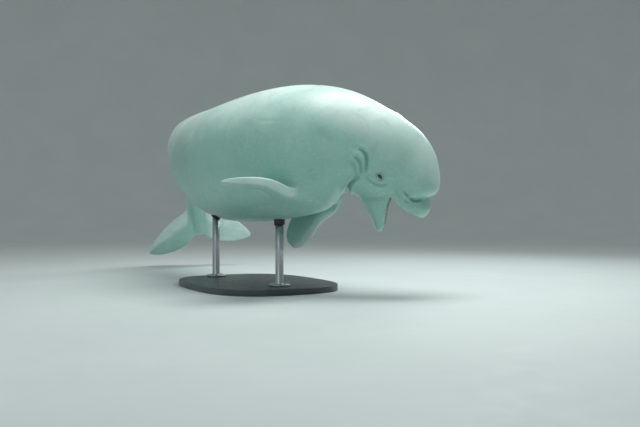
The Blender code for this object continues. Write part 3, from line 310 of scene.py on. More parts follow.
# Folds that are drawn once: the big fold under the throat, the folds of the hollow left side, the
# navel's furrow and the slit behind it.
SINGLE_FOLDS = (
    (((0.440, 206.0), (0.447, 214.8), (0.465, 224.3), (0.479, 234.1), (0.485, 247.4),
      (0.490, 270.0), (0.485, 292.6), (0.479, 305.9), (0.465, 315.7), (0.447, 325.2),
      (0.440, 334.0)), 0.016, 0.018, 0.010, 0.008),
    (((1.420, 148.0), (1.440, 165.0), (1.455, 182.0), (1.440, 204.0)), 0.036, 0.007, 0.003, 0.0),
    (((1.640, 152.0), (1.655, 168.0), (1.672, 184.0), (1.650, 208.0)), 0.030, 0.006, 0.003, 0.0),
    (((1.900, 158.0), (1.915, 170.0), (1.918, 184.0), (1.900, 199.0)), 0.032, 0.005, 0.003, 0.0),
    (((2.950, -120.0), (2.960, -95.0), (2.950, -62.0)), 0.022, 0.004, 0.002, 0.0),
    (((3.080, -122.0), (3.090, -92.0), (3.080, -60.0)), 0.020, 0.004, 0.002, 0.0),
    (((3.210, -120.0), (3.220, -90.0), (3.210, -62.0)), 0.017, 0.003, 0.002, 0.0),
    (((2.020, -90.0), (2.050, -90.0), (2.080, -90.0)), 0.010, 0.006, 0.003, 0.0),
    (((2.450, -90.0), (2.530, -90.0), (2.620, -90.0)), 0.008, 0.009, 0.004, 0.0),
)
# Soft bumps on both sides: distance along the spine, angle, radius and height.
BUMPS = (
    (0.403, -19.8, 0.015, 0.004), (0.306, -5.8, 0.018, 0.003), (0.400, -28.0, 0.004, -0.0035),
    (0.566, -26.5, 0.060, 0.008),
)

# Lids: reach of the rebuilt skin, rows towards the rim as shares of the way, the rim's almond, and
# the roll, fold and margin of the lids.
LID_REACH = 0.032
LID_SEARCH = 2.0 * LID_REACH
LID_ROWS = (
    0.05, 0.12, 0.20, 0.28, 0.36, 0.43, 0.50, 0.56, 0.62, 0.68, 0.74, 0.80, 0.85, 0.90, 0.94,
    0.97, 0.99, 1.0,
)
LID_LENGTH = 0.0180
LID_UPPER = 0.0110
LID_LOWER = 0.0092
LID_MARGIN = 0.0018
LID_LEAST = 0.004
LID_RAY = 0.08
LID_WRAP_START = 0.30
LID_ROLL = 0.0016
LID_ROLL_AT = 0.82
LID_ROLL_WIDTH = 0.12
LID_FOLD = 0.0020
LID_FOLD_AT = 0.52
LID_FOLD_WIDTH = 0.10
# Painted shade in the lids' fold and on their rim, and where along the rows the rim's shade starts.
LID_FOLD_SHADE = 0.55
LID_RIM_SHADE = 0.85
LID_RIM_SHADE_START = 0.78
LID_WET = 0.25
LID_INNER = ((0.0, 0.96), (0.06, 0.98), (0.35, 1.0), (0.70, 1.0))
SOCKET_GAP = 0.0006
SOCKET_RADIUS = EYE_RADIUS + SOCKET_GAP
SOCKET_TURNS = (0.0, 30.0, 60.0, 82.0)
# Eye ball: sides, rings, the cornea's rise and width, and how much wider than high the pupil is.
EYE_SIDES = 48
EYE_RINGS = 32
CORNEA_HEIGHT = 0.05
CORNEA_ANGLE = 42.0
PUPIL_WIDE = 0.7

# Blowhole's furrow: reach, breadth and depth, the bow's middle and end, where its ends start to
# fade and over how far, and the height, place and breadth of its lips.
BLOWHOLE_REACH = 0.09
BLOWHOLE_SLIT = 0.0045
BLOWHOLE_DEEP = 0.011
BLOWHOLE_BEND = (0.5, 1.4)
BLOWHOLE_ENDS = (0.8, 0.45)
BLOWHOLE_LIP = 0.003
BLOWHOLE_LIP_AT = 2.6 * BLOWHOLE_SLIT
BLOWHOLE_LIP_WIDTH = 1.8 * BLOWHOLE_SLIT

# Shape of a peg: height and width as shares, sides, variety, flatness and lean.
TOOTH_PROFILE = (
    (-0.8, 0.95), (-0.2, 1.0), (0.15, 1.0), (0.45, 0.95), (0.70, 0.84), (0.86, 0.66), (0.95, 0.44),
    (1.0, 0.18),
)
TOOTH_SIDES = 14
TOOTH_VARIETY = 2.3
TOOTH_UNEVEN = 0.14
TOOTH_FLAT = 0.88
TOOTH_LEAN = 0.12
TOOTH_SINK = 0.004
# Tongue's finish.
TONGUE_SIDES = 48
TONGUE_RINGS = 32
TONGUE_FURROW = 0.35
TONGUE_FURROW_WIDTH = 0.16
TONGUE_TAPER = 0.15

# Stand's finish: the base's levels as height and inset, the foot's rounding, the pad on top of a
# rod as radius and level against the belly, and the screws.
BASE_SIDES = 192
BASE_LEVELS = (
    (0.0, 0.004), (0.002, 0.001), (0.005, 0.0), (0.034, 0.0), (0.0365, 0.0006), (0.0385, 0.0022),
    (0.0396, 0.0042), (0.040, 0.0066),
)
FOOT_ROUND = 0.004
ROUND_SHARE = 0.3
FOOT_TOP = BASE_HEIGHT + ROD_FOOT_HEIGHT
ROD_FINE_SIDES = 64
PAD_RADIUS = 0.034
PAD_PROBES = 8
PAD_RINGS = (
    (0.027, -0.034), (0.032, -0.034), (0.034, -0.031), (0.0345, -0.006), (0.038, 0.0),
    (0.038, 0.003), (0.026, 0.004),
)
SCREWS = 4
SCREW_CIRCLE = 0.050
SCREW_RADIUS = 0.0075
SCREW_SIDES = 24
SCREW_PROFILE = ((1.0, -0.001), (1.0, 0.0015), (0.86, 0.0032), (0.45, 0.0036), (0.42, 0.0016))

# Colours.
# Painted lighting of the skin, by the angle round the body: lit back, shaded flank, darker shaded
# belly.
SKIN_PAINTED_LIT_BACK = (0.78, 0.92, 0.87)
SKIN_PAINTED_SHADE_FLANK = (0.37, 0.64, 0.57)
SKIN_PAINTED_SHADE_BELLY = (0.27, 0.52, 0.46)
SKIN_SHADE = (0.33, 0.57, 0.50)
SKIN_BLOTCH = (0.34, 0.54, 0.48)
SKIN_MOTTLE = (0.80, 0.92, 0.87)
SKIN_SPECKLE = (0.24, 0.38, 0.33)
SKIN_SCRATCH = (0.86, 0.90, 0.87)
# Painted shade in creases, grooves and hollows.
SKIN_CREASE_SHADE = (0.10, 0.26, 0.22)
SKIN_EDGE = (0.20, 0.34, 0.30)
# Strength of that painted crease shade.
CREASE_SHADE_STRENGTH = 0.55
# How much painted light the fins get over the flank: a strong painted highlight along the lit front,
# less towards the rear, and the share across where that lit front band ends.
FIN_HIGHLIGHT_BAND = (0.10, 0.50)
FIN_FRONT_PAINTED_HIGHLIGHT = 1.7
FIN_REAR_PAINTED_LIGHT = 0.45
EDGE_DARK = 0.55
SKIN_ROUGHNESS = (0.34, 0.48)
MOUTH_LIGHT = (0.62, 0.36, 0.34)
MOUTH_DARK = (0.48, 0.24, 0.24)
TONGUE_LIGHT = (0.60, 0.34, 0.33)
TONGUE_DARK = (0.44, 0.22, 0.23)
TOOTH_LIGHT = (0.80, 0.80, 0.72)
TOOTH_STAIN = (0.62, 0.60, 0.48)
EYE_BLACK = (0.004, 0.003, 0.003)
EYE_IRIS = (0.016, 0.011, 0.008)
EYE_IRIS_LIGHT = (0.036, 0.024, 0.016)
EYE_RIM = (0.010, 0.008, 0.008)
STAND_TONE = (0.060, 0.066, 0.070)
STAND_TONE_LIGHT = (0.085, 0.092, 0.098)
STEEL_DARK = (0.54, 0.55, 0.57)
STEEL_LIGHT = (0.62, 0.63, 0.65)
PAD_TONE = (0.020, 0.021, 0.022)
PAD_TONE_LIGHT = (0.040, 0.041, 0.043)
FLOOR_TONE = (0.70, 0.745, 0.745)
FLOOR_TONE_LIGHT = (0.73, 0.77, 0.77)

# Patterns of the materials. A noise is its scale, detail, roughness and warp. A span is the two
# values between which a share changes, then the shares at its ends where they aren't 0 and 1.
HALF_WAY = 0.5
WIDE_SPAN = (0.3, 0.7)
SKIN_PATCHES = (3.0, 4.0, 0.6)
PATCH_STRENGTH = 0.9
# Spans of the painted light on the back and of the painted shade on the belly.
LIT_BACK_SPAN = (0.05, 0.95)
SHADED_BELLY_SPAN = (-0.95, -0.05)
FIN_SPAN = (0.0, 0.25)
SKIN_LAYERS = (
    ((1.7, 3.0, 0.5, 0.4), (0.40, 0.68, 0.0, 0.55), SKIN_SHADE),
    ((9.0, 5.0, 0.6, 0.8), (0.52, 0.72, 0.0, 0.35), SKIN_BLOTCH),
    ((55.0, 6.0, 0.65), (0.50, 0.72, 0.0, 0.22), SKIN_MOTTLE),
)
SPECKLE_CELLS = 70.0
SPECKLE_SPAN = (0.05, 0.13, 0.5, 0.0)
SPECKLE_AREAS = ((4.0,), (0.5, 0.66))
SCRATCH_LINES = (20.0, 2.0, 0.5, 0.3)
SCRATCH_STRETCH = (0.35, 1.0, 2.6)
SCRATCH_SPAN = (0.0, 0.008, 0.6, 0.0)
SCRATCH_AREAS = ((6.0,), (0.52, 0.64))
EDGE_SPAN = (0.88, 1.0)
EDGE_LIMB = (0.05, 0.3)
MOUTH_PATCHES = ((38.0, 5.0), (0.35, 0.7))
WET_SPAN = (0.55, 1.0)
WET_SHINE = 0.18
SKIN_UNEVEN = (30.0, 6.0, 0.6)
SKIN_SHEEN = {
    "Subsurface Weight": 0.12, "Subsurface Radius": (1.0, 0.75, 0.6), "Subsurface Scale": 0.012,
    "Coat Weight": 0.18, "Coat Roughness": 0.22,
}
# Relief of the skin: noises with their heights, pores, rings round the body, ribs along the fins,
# and how deep a scratch is. Streaks are a mark, their count across it, a mark and waves along it.
SKIN_RELIEF = (
    ((420.0, 3.0, 0.6), 0.10), ((70.0, 4.0, 0.6, 0.5), 0.30), ((14.0, 3.0, 0.5), 1.1),
)
PORE_CELLS = 260.0
PORE_SPAN = (0.0, 0.35, 0.0, 0.12)
RING_STREAKS = ("place", 60.0, "turn", 1.6)
RING_HEIGHT = 0.35
RIB_STREAKS = ("limb", 46.0, "chord", 1.5)
RIB_HEIGHT = 1.2
SCRATCH_DEPTH = 0.08
SKIN_BUMP = (0.003, 0.55)
STREAK_NOISE = (1.0, 3.0, 0.5, 0.0)
# Eye: the iris's fibres, and the angles in degrees where the pupil and the iris end.
EYE_FIBRES = (900.0, 4.0, 0.7)
FIBRE_SPAN = (0.35, 0.65)
PUPIL_END = (15.0, 18.0)
IRIS_END = (34.0, 40.0)
EYE_SHEEN = {"Roughness": 0.12, "Coat Weight": 1.0, "Coat Roughness": 0.03}
EYE_BUMP = (0.0002, 0.2)
# Steel: marks that run round the rods.
STEEL_MARKS = (60.0, 5.0, 0.7, 0.0)
STEEL_STRETCH = (1.0, 1.0, 14.0)
STEEL_ROUGHNESS = (0.24, 0.42)
STEEL_BUMP = (0.0001, 0.2)

# Studio: floor's profile as radius and height, surroundings, lights and camera.
FLOOR_SIDES = 96
FLOOR_PROFILE = (
    (0.5, 0.0), (4.0, 0.0), (9.0, 0.0), (10.0, 0.10), (11.2, 0.45), (12.4, 1.1), (13.3, 2.1),
    (13.9, 3.4), (14.1, 5.0), (14.1, 9.0),
)
WORLD_TONE = (0.86, 0.93, 0.92)
WORLD_STRENGTH = 0.34
# Lights: name, place, aim, size, power, colour.
LIGHTS = (
    ("key", (0.9, -0.6, 4.6), (0.2, 0.1, 0.9), (3.4, 2.4), 165.0, (0.93, 1.0, 0.98)),
    ("rim_shade", (2.6, 2.8, 3.2), (0.4, 0.0, 1.0), (1.6, 1.6), 45.0, (0.90, 1.0, 0.98)),
    ("fill", (-2.2, -4.6, 1.8), (0.0, 0.0, 0.9), (3.0, 2.0), 14.0, (0.92, 1.0, 1.0)),
)
SENSOR = 36.0
LENS = 43.2
CAMERA_PLACE = (0.44, -5.25, 0.50)

FLESH_NODES = (
    "head", "lower_jaw", "neck", "chest", "abdomen", "tail_stock", "flipper_right", "flipper_left",
    "fluke_right", "fluke_left",
)


def smooth_curve(rows, where):
    """Read a smooth curve through rows of (place, value) at the places asked for."""
    knots = np.array(rows, float)
    place, value = knots[:, 0], knots[:, 1]
    step = np.diff(place)
    slope = np.diff(value) / step
    tangent = np.zeros(len(place))
    tangent[0], tangent[-1] = slope[0], slope[-1]
    same_way = slope[:-1] * slope[1:] > 0.0
    safe = np.where(same_way, slope[:-1] * slope[1:], 1.0)
    mean = 2.0 * safe / np.where(same_way, slope[:-1] + slope[1:], 1.0)
    tangent[1:-1] = np.where(same_way, mean, 0.0)
    where = np.clip(where, place[0], place[-1])
    left = np.clip(np.searchsorted(place, where) - 1, 0, len(step) - 1)
    t = (where - place[left]) / step[left]
    rise = value[left] * (1 + 2 * t) * (1 - t) ** 2 + value[left + 1] * t * t * (3 - 2 * t)
    bend = tangent[left] * t * (1 - t) ** 2 + tangent[left + 1] * t * t * (t - 1)
    return rise + bend * step[left]


class Spine:
    """The body's centre line, with a forward, an upward and a rightward direction at each place."""

    def __init__(self):
        self.places = np.arange(0.0, SPINE_LENGTH + SPINE_STEP, SPINE_STEP)
        heading = np.radians(smooth_curve(HEADING, self.places))
        pitch = np.radians(smooth_curve(PITCH, self.places))
        roll = np.radians(smooth_curve(ROLL, self.places))[:, None]
        self.forward = np.stack([
            np.cos(pitch) * np.cos(heading), -np.cos(pitch) * np.sin(heading), np.sin(pitch)
        ], axis=1)
        level_up = np.stack([
            -np.sin(pitch) * np.cos(heading), np.sin(pitch) * np.sin(heading), np.cos(pitch)
        ], axis=1)
        level_right = np.cross(self.forward, level_up)
        self.up = level_up * np.cos(roll) + level_right * np.sin(roll)
        self.right = level_right * np.cos(roll) - level_up * np.sin(roll)
        middle = (self.forward[1:] + self.forward[:-1]) / 2
        start = np.array(SPINE_START) + self.up[0] * MOUTH_DROP
        steps = np.cumsum(middle * SPINE_STEP, axis=0)
        self.centre = np.vstack([start, start - steps])

    def read(self, table, place):
        """Read one of the tables at a distance along the spine, also past its ends."""
        index = np.clip(place / SPINE_STEP, 0, len(self.places) - 1)
        low = int(index)
        high = min(low + 1, len(self.places) - 1)
        return table[low] + (table[high] - table[low]) * (index - low)

    def point(self, place, side, height):
        """World point at a distance along the spine, a way to the right and a height above it."""
        past = min(place, 0.0) + max(place - SPINE_LENGTH, 0.0)
        centre = self.read(self.centre, place) - self.read(self.forward, place) * past
        return centre + self.read(self.right, place) * side + self.read(self.up, place) * height

    def head_point(self, behind, side, height):
        """World point in the head's straight frame, with heights above the mouth line."""
        return self.point(behind, side, height - MOUTH_DROP)


class Cage:
    """Points and faces of the skin's cage, with a number for the body part of each face. Each
    point is marked with how wet it is, and with its share along and across a fin."""

    def __init__(self):
        self.points = []
        self.marks = {"wet": [], "limb": [], "chord": []}
        self.faces = []
        self.parts = []
        self.rings = []

    def add(self, point, wet=0.0, limb=0.0, chord=0.5):
        for name, value in (("wet", wet), ("limb", limb), ("chord", chord)):
            self.marks[name].append(value)
        self.points.append(tuple(float(v) for v in point))
        return len(self.points) - 1

    def face(self, corners, part):
        self.faces.append(tuple(corners))
        self.parts.append(part)

    def strip(self, first, second, part, closed=False):
        """Join two rows of points with a row of faces."""
        count = len(first) if closed else len(first) - 1
        for i in range(count):
            j = (i + 1) % len(first)
            self.face((first[i], first[j], second[j], second[i]), part)


BODY, LINING, FLIPPER_RIGHT, FLIPPER_LEFT, FLUKE_RIGHT, FLUKE_LEFT = range(6)


def ring_angle(column):
    return 2.0 * math.pi * column / RING


def body_ring(cage, spine, row):
    """One ring round the body, whose belly half may lean back."""
    place, lean, half_width, bulge, back, belly, waist = row
    ring = {}
    for column in range(RING):
        angle = ring_angle(column)
        rise = math.sin(angle)
        reach = back - waist if rise > 0.0 else belly + waist
        behind = place + lean * max(-rise, 0.0)
        side = half_width * math.cos(angle)
        if rise > 0.0:
            side += bulge * math.sin(2.0 * angle)
        if column == QUARTER:
            reach += float(smooth_curve(RIDGE, place))
        ring[column] = cage.add(spine.point(behind, side, waist + reach * rise))
    return ring


def mouth_width(share):
    """Half width of the mouth, from 1 at its corners to 0 at the tip, as a rounded U."""
    return MOUTH_HALF_WIDTH * (1.0 - share ** MOUTH_ROUND) ** 0.5


def upper_lip_point(behind):
    share = (LIP_REACH - behind) / LIP_REACH
    drop = UPPER_LIP_DROP * math.sin(min(share / UPPER_LIP_SLOPE, 1.0) * math.pi / 2)
    return behind, mouth_width(share), CORNER_HEIGHT - drop


def lower_lip_point(behind, height):
    share = -height / LOWER_REACH
    return behind, mouth_width(share) * (1.0 - LOWER_TAPER * share), height


def arc_row(lip, midline, bulge):
    """Points from the right lip over the midline to the left lip, as an arc that bulges."""
    behind, half_width, height = lip
    row = []
    for column in range(HALF + 1):
        angle = ring_angle(column)
        rise = math.sin(angle)
        side = half_width * math.cos(angle) + bulge * math.sin(2.0 * angle)
        row.append((
            behind + (midline[0] - behind) * rise, side, height + (midline[1] - height) * rise
        ))
    return row


def add_row(cage, spine, row, wet=0.0):
    return [cage.add(spine.head_point(*point), wet) for point in row]


def lip_loop(rows_up, rows_down):
    """The closed loop round the mouth: right corner, upper lip, left corner, lower lip."""
    right_up = [row[0] for row in rows_up]
    left_up = [row[-1] for row in rows_up]
    right_down = [row[0] for row in rows_down]
    left_down = [row[-1] for row in rows_down]
    loop = right_up + rows_up[-1][1:-1] + left_up[::-1]
    loop += left_down[1:] + rows_down[-1][1:-1][::-1] + right_down[:0:-1]
    return loop


def mouth_rows():
    """Rows of the upper and of the lower outer patch, each from the corners to the lip."""
    corner = (LIP_REACH, MOUTH_HALF_WIDTH, CORNER_HEIGHT)
    upper = []
    for behind, midline, bulge in zip(UPPER_LIP, UPPER_MIDLINE, UPPER_BULGE):
        upper.append(arc_row(upper_lip_point(behind), midline, bulge))
    lower = []
    for lip, midline, bulge in zip(LOWER_LIP, LOWER_MIDLINE, LOWER_BULGE):
        lower.append(arc_row(lower_lip_point(*lip), midline, bulge))
    return corner, upper, lower


def inward_lip(point, reach, opening, upper):
    """A lip point moved towards the mouth's middle, and out towards the opening."""
    middle, away = UPPER_OPENING if upper else LOWER_OPENING
    away = np.array(away)
    pull = np.array(middle) - np.array(point)
    pull = unit(pull - away * np.dot(pull, away))
    return tuple(np.array(point) + pull * reach + away * opening)


def lining_profile(start, middle, end, count):
    """Points after the start along the midline of the palate or of the floor, as a smooth bow."""
    start, middle, end = np.array(start), np.array(middle), np.array(end)
    pull = 2.0 * middle - (start + end) / 2.0
    points = []
    for i in range(1, count + 1):
        t = i / count
        points.append((1 - t) ** 2 * start + 2 * t * (1 - t) * pull + t * t * end)
    return points


def add_head(cage, spine, corner_ring):
    """Upper head, lower jaw, lips and the mouth's lining, all ahead of the first ring."""
    corner, upper, lower = mouth_rows()
    top = [corner_ring[column] for column in range(HALF + 1)]
    under = [corner_ring[-column % RING] for column in range(HALF + 1)]
    upper_ids = [top] + [add_row(cage, spine, row) for row in upper]
    lower_ids = [under] + [add_row(cage, spine, row) for row in lower]
    for first, second in zip(upper_ids, upper_ids[1:]):
        cage.strip(first, second, BODY)
    for first, second in zip(lower_ids, lower_ids[1:]):
        cage.strip(second, first, BODY)
    # Lips: two more loops inside the edge of the skin.
    corner_row = [corner] + [None] * (HALF - 1) + [(corner[0], -corner[1], corner[2])]
    edge = lip_loop([corner_row] + upper, [corner_row] + lower)
    edge_ids = lip_loop(upper_ids, lower_ids)
    upper_count = 2 * len(upper) + HALF + 1
    crest, gum = [], []
    for i, point in enumerate(edge):
        up = i < upper_count
        length = upper_count - 1 if up else len(edge) - upper_count + 1
        step = i if up else i - upper_count + 1
        open_share = math.sin(math.pi * step / length) ** 0.5
        crest.append(inward_lip(point, LIP_INWARD, LIP_CREST * open_share, up))
        gum.append(inward_lip(point, GUM_INWARD, -GUM_DEPTH * open_share, up))
    crest_ids = add_row(cage, spine, crest, LIP_WET)
    gum_ids = add_row(cage, spine, gum, GUM_WET)
    cage.strip(edge_ids, crest_ids, LINING, closed=True)
    cage.strip(crest_ids, gum_ids, LINING, closed=True)
    add_lining(cage, spine, gum, gum_ids, len(upper), len(lower))


def add_lining(cage, spine, gum, gum_ids, up_rows, down_rows):
    """Palate, throat and floor of the mouth, as one grid that the gum line bounds."""
    total = len(gum)
    grid = []
    palate = lining_profile(PALATE_FRONT, PALATE_MIDDLE, THROAT, up_rows)
    floor = lining_profile(THROAT, FLOOR_MIDDLE, FLOOR_FRONT, down_rows)
    middle = palate + floor[:-1]
    grid.append(gum_ids[up_rows:up_rows + HALF + 1])
    for step, midline in enumerate(middle, 1):
        right = (up_rows - step) % total
        left = (up_rows + HALF + step) % total
        behind, side, height = gum[right]
        row = [gum_ids[right]]
        for column in range(1, HALF):
            angle = ring_angle(column)
            rise = math.sin(angle) ** LINING_FULLNESS
            row.append(cage.add(spine.head_point(
                behind + (midline[0] - behind) * rise,
                side * math.cos(angle),
                height + (midline[1] - height) * rise,
            ), 1.0))
        row.append(gum_ids[left])
        grid.append(row)
    front = [gum_ids[(-down_rows - k) % total] for k in range(HALF + 1)]
    grid.append(front)
    for first, second in zip(grid, grid[1:]):
        cage.strip(first, second, LINING)


def patch_loop(rings, first_row, rows, columns):
    """Boundary of a patch of the ring grid: front middle, one side back, rear middle, other side."""
    side_a, middle, side_b = (column % RING for column in columns)
    last = first_row + rows
    loop = [rings[first_row][middle]]
    loop += [rings[row][side_b] for row in range(first_row, last + 1)]
    loop += [rings[last][middle]]
    loop += [rings[row][side_a] for row in range(last, first_row - 1, -1)]
    return loop


def section_loop(rows, edge, chord, face):
    """Points round a fin's section with their share across it: leading edge, one face, trailing
    edge, other face."""
    first, last = FIN_SHARES
    shares = [first + (last - first) * i / rows for i in range(rows + 1)]
    loop = [(edge, 0.0)]
    loop += [(edge + chord * share + face * thickness_at(share), share) for share in shares]
    loop += [(edge + chord, 1.0)]
    loop += [
        (edge + chord * share - face * thickness_at(share), share) for share in reversed(shares)
    ]
    return loop


def thickness_at(share):
    """Half thickness of a fin's section, from 0 at the edges to 1 at its fullest."""
    return FIN_FULLNESS * math.sqrt(share) * (1.0 - share) * (1.0 - FIN_THINNING * share)


def add_limb(cage, root, loops, part, turned):
    """Rings of faces from a patch's boundary out along a limb, closed at the tip."""
    previous = root
    for limb, loop in loops:
        current = [cage.add(point, 0.0, limb, chord) for point, chord in loop]
        if turned:
            cage.strip(current, previous, part, closed=True)
        else:
            cage.strip(previous, current, part, closed=True)
        previous = current
    count = len(previous)
    half = count // 2
    for i in range(half):
        a, b = previous[i], previous[i + 1]
        c, d = previous[(count - i - 1) % count], previous[(count - i) % count]
        corners = list(dict.fromkeys((a, b, c, d)))
        if turned:
            corners.reverse()
        cage.face(corners, part)


def smooth_step(share):
    share = min(max(share, 0.0), 1.0)
    return share * share * (3.0 - 2.0 * share)


def unit(vector):
    vector = np.array(vector, float)
    return vector / np.linalg.norm(vector)


def flipper_root(cage, columns, turned):
    """Middle of the patch that a flipper grows from, and the direction square out of it."""
    root = patch_loop(cage.rings, FLIPPER_ROW, FLIPPER_ROWS, columns)
    corners = [np.array(cage.points[i]) for i in root]
    back = corners[len(root) // 2] - corners[0]
    across = corners[len(root) // 4] - corners[-(len(root) // 4)]
    out = unit(np.cross(back, across)) * (1.0 if turned else -1.0)
    return np.mean(corners, axis=0), out


def add_flipper(cage, columns, directions, part, turned):
    """One flipper, which leaves the flank square and then sweeps back."""
    near, far, chord = (unit(direction) for direction in directions)
    first_turn, second_turn = FLIPPER_TURNS
    root = patch_loop(cage.rings, FLIPPER_ROW, FLIPPER_ROWS, columns)
    axis, start_out = flipper_root(cage, columns, turned)
    back = unit(np.array(cage.points[root[len(root) // 2]]) - np.array(cage.points[root[0]]))
    reached = 0.0
    loops = []
    for share, width, lead, half_thickness in FLIPPER_SECTIONS:
        turn = smooth_step(share / first_turn)
        bend = smooth_step((share - first_turn) / (second_turn - first_turn))
        along = unit(start_out * (1.0 - turn) + near * turn * (1.0 - bend) + far * bend)
        broad = back * (1.0 - turn) + chord * turn
        broad = unit(broad - along * np.dot(broad, along))
        face = np.cross(along, broad) * (1.0 if turned else -1.0)
        axis = axis + along * FLIPPER_LENGTH * (share - reached)
        reached = share
        loops.append((share, section_loop(
            FLIPPER_ROWS, axis - broad * lead, broad * width, face * half_thickness
        )))
    add_limb(cage, root, loops, part, turned)


def add_fluke(cage, spine, side, part):
    """One half of the flukes, out from the side of the tail stock."""
    columns = (-1, 0, 1) if side > 0 else (HALF + 1, HALF, HALF - 1)
    root = patch_loop(cage.rings, FLUKE_ROW, FLUKE_ROWS, columns)
    base = spine.point(FLUKE_FRAME, 0.0, 0.0)
    back = -spine.read(spine.forward, FLUKE_FRAME)
    right = spine.read(spine.right, FLUKE_FRAME)
    up = spine.read(spine.up, FLUKE_FRAME)
    loops = []
    for reach, lead, trail, half_thickness, lift in FLUKE_SECTIONS:
        edge = base + back * (lead - FLUKE_FRAME) + right * side * reach + up * lift
        loops.append((reach / FLUKE_SECTIONS[-1][0], section_loop(
            FLUKE_ROWS, edge, back * (trail - lead), up * half_thickness
        )))
    add_limb(cage, root, loops, part, side < 0)


def build_cage():
    """The whole whale as one closed cage."""
    spine = Spine()
    cage = Cage()
    rings = [body_ring(cage, spine, row) for row in BODY_RINGS]
    cage.rings = rings
    open_faces = set()
    for first in range(FLIPPER_ROW, FLIPPER_ROW + FLIPPER_ROWS):
        for column in RIGHT_COLUMNS[:2] + LEFT_COLUMNS[1:]:
            open_faces.add((first, column))
    for first in range(FLUKE_ROW, FLUKE_ROW + FLUKE_ROWS):
        for column in (RING - 1, 0, HALF - 1, HALF):
            open_faces.add((first, column))
    for row, (first, second) in enumerate(zip(rings, rings[1:])):
        for column in range(RING):
            if (row, column) in open_faces:
                continue
            after = (column + 1) % RING
            cage.face((first[column], second[column], second[after], first[after]), BODY)
    last = rings[-1]
    for column in range(HALF):
        corners = (
            last[column], last[(RING - column) % RING], last[RING - column - 1], last[column + 1]
        )
        cage.face(list(dict.fromkeys(corners)), BODY)
    add_head(cage, spine, rings[0])
    add_flipper(cage, RIGHT_COLUMNS, RIGHT_FLIPPER, FLIPPER_RIGHT, False)
    add_flipper(cage, LEFT_COLUMNS, LEFT_FLIPPER, FLIPPER_LEFT, True)
    add_fluke(cage, spine, 1.0, FLUKE_RIGHT)
    add_fluke(cage, spine, -1.0, FLUKE_LEFT)
    return cage, spine

def link(name, mesh):
    thing = bpy.data.objects.new(name, mesh)
    bpy.context.scene.collection.objects.link(thing)
    return thing


def settle(thing):
    """Replace an object's mesh by what its modifiers make of it."""
    depsgraph = bpy.context.evaluated_depsgraph_get()
    mesh = bpy.data.meshes.new_from_object(thing.evaluated_get(depsgraph))
    thing.modifiers.clear()
    thing.data = mesh


def from_bmesh(name, shape):
    """An object of a finished bmesh, shaded smooth."""
    mesh = bpy.data.meshes.new(name)
    shape.to_mesh(mesh)
    shape.free()
    mesh.polygons.foreach_set("use_smooth", [True] * len(mesh.polygons))
    return link(name, mesh)


def frame_matrix(origin, x_axis, y_axis, z_axis):
    matrix = Matrix.Identity(4)
    for column, vector in enumerate((x_axis, y_axis, z_axis, origin)):
        for row in range(3):
            matrix[row][column] = float(vector[row])
    return matrix


def skin_spot(tree, start, direction):
    """Where a ray meets the skin, and the outward direction there."""
    spot, normal, _, _ = tree.ray_cast(Vector(start), Vector(direction).normalized())
    return np.array(spot), np.array(normal)


def points_of(mesh):
    values = np.empty(len(mesh.vertices) * 3)
    mesh.vertices.foreach_get("co", values)
    return values.reshape(-1, 3)


def normals_of(mesh):
    values = np.empty(len(mesh.vertices) * 3)
    mesh.vertices.foreach_get("normal", values)
    return values.reshape(-1, 3)


def set_points(mesh, points):
    mesh.vertices.foreach_set("co", points.ravel())
    mesh.update()


def set_values(mesh, name, values):
    attribute = mesh.attributes.get(name) or mesh.attributes.new(name, "FLOAT", "POINT")
    attribute.data.foreach_set("value", np.asarray(values, np.float32))


def smooth_steps(values):
    values = np.clip(values, 0.0, 1.0)
    return values * values * (3.0 - 2.0 * values)


def raw_skin(cage):
    """The smoothed skin before any finer work, with the cage's marks on its points."""
    mesh = bpy.data.meshes.new("skin")
    mesh.from_pydata(cage.points, [], cage.faces)
    mesh.polygons.foreach_set("material_index", cage.parts)
    for name, values in cage.marks.items():
        set_values(mesh, name, values)
    shape = bmesh.new()
    shape.from_mesh(mesh)
    unused = [vert for vert in shape.verts if not vert.link_faces]
    bmesh.ops.delete(shape, geom=unused, context="VERTS")
    bmesh.ops.recalc_face_normals(shape, faces=shape.faces)
    shape.to_mesh(mesh)
    shape.free()
    skin = link("skin", mesh)
    smooth = skin.modifiers.new("Smooth", "SUBSURF")
    smooth.levels = SKIN_LEVELS
    smooth.render_levels = SKIN_LEVELS
    settle(skin)
    return skin


def relax(mesh, weight, rounds):
    """Smooth the points by their neighbours, each as much as its weight says."""
    edges = np.empty(len(mesh.edges) * 2, int)
    mesh.edges.foreach_get("vertices", edges)
    first, second = edges.reshape(-1, 2).T
    count = len(mesh.vertices)
    near = np.bincount(first, minlength=count) + np.bincount(second, minlength=count)
    points = points_of(mesh)
    for _ in range(rounds):
        middle = np.empty_like(points)
        for axis in range(3):
            middle[:, axis] = (
                np.bincount(first, points[second, axis], count)
                + np.bincount(second, points[first, axis], count)
            ) / near
        points += (middle - points) * weight[:, None]
    set_points(mesh, points)


def ease_roots(cage, mesh):
    """Soften the skin where the flippers and flukes grow from the body."""
    for row, rows, sides, reach, rounds in (
        (FLIPPER_ROW, FLIPPER_ROWS, (RIGHT_COLUMNS, LEFT_COLUMNS), *FLIPPER_EASE),
        (FLUKE_ROW, FLUKE_ROWS, ((-1, 0, 1), (HALF + 1, HALF, HALF - 1)), *FLUKE_EASE),
    ):
        points = points_of(mesh)
        weight = np.zeros(len(points))
        for columns in sides:
            loop = [cage.points[i] for i in patch_loop(cage.rings, row, rows, columns)]
            line = curve_through(loop + loop[:1], ROOT_STEP)
            near, gap, _ = nearest_on_line(points, line, reach)
            weight[near] = np.maximum(weight[near], ROOT_EASE * (1.0 - smooth_steps(gap / reach)))
        relax(mesh, weight, rounds)


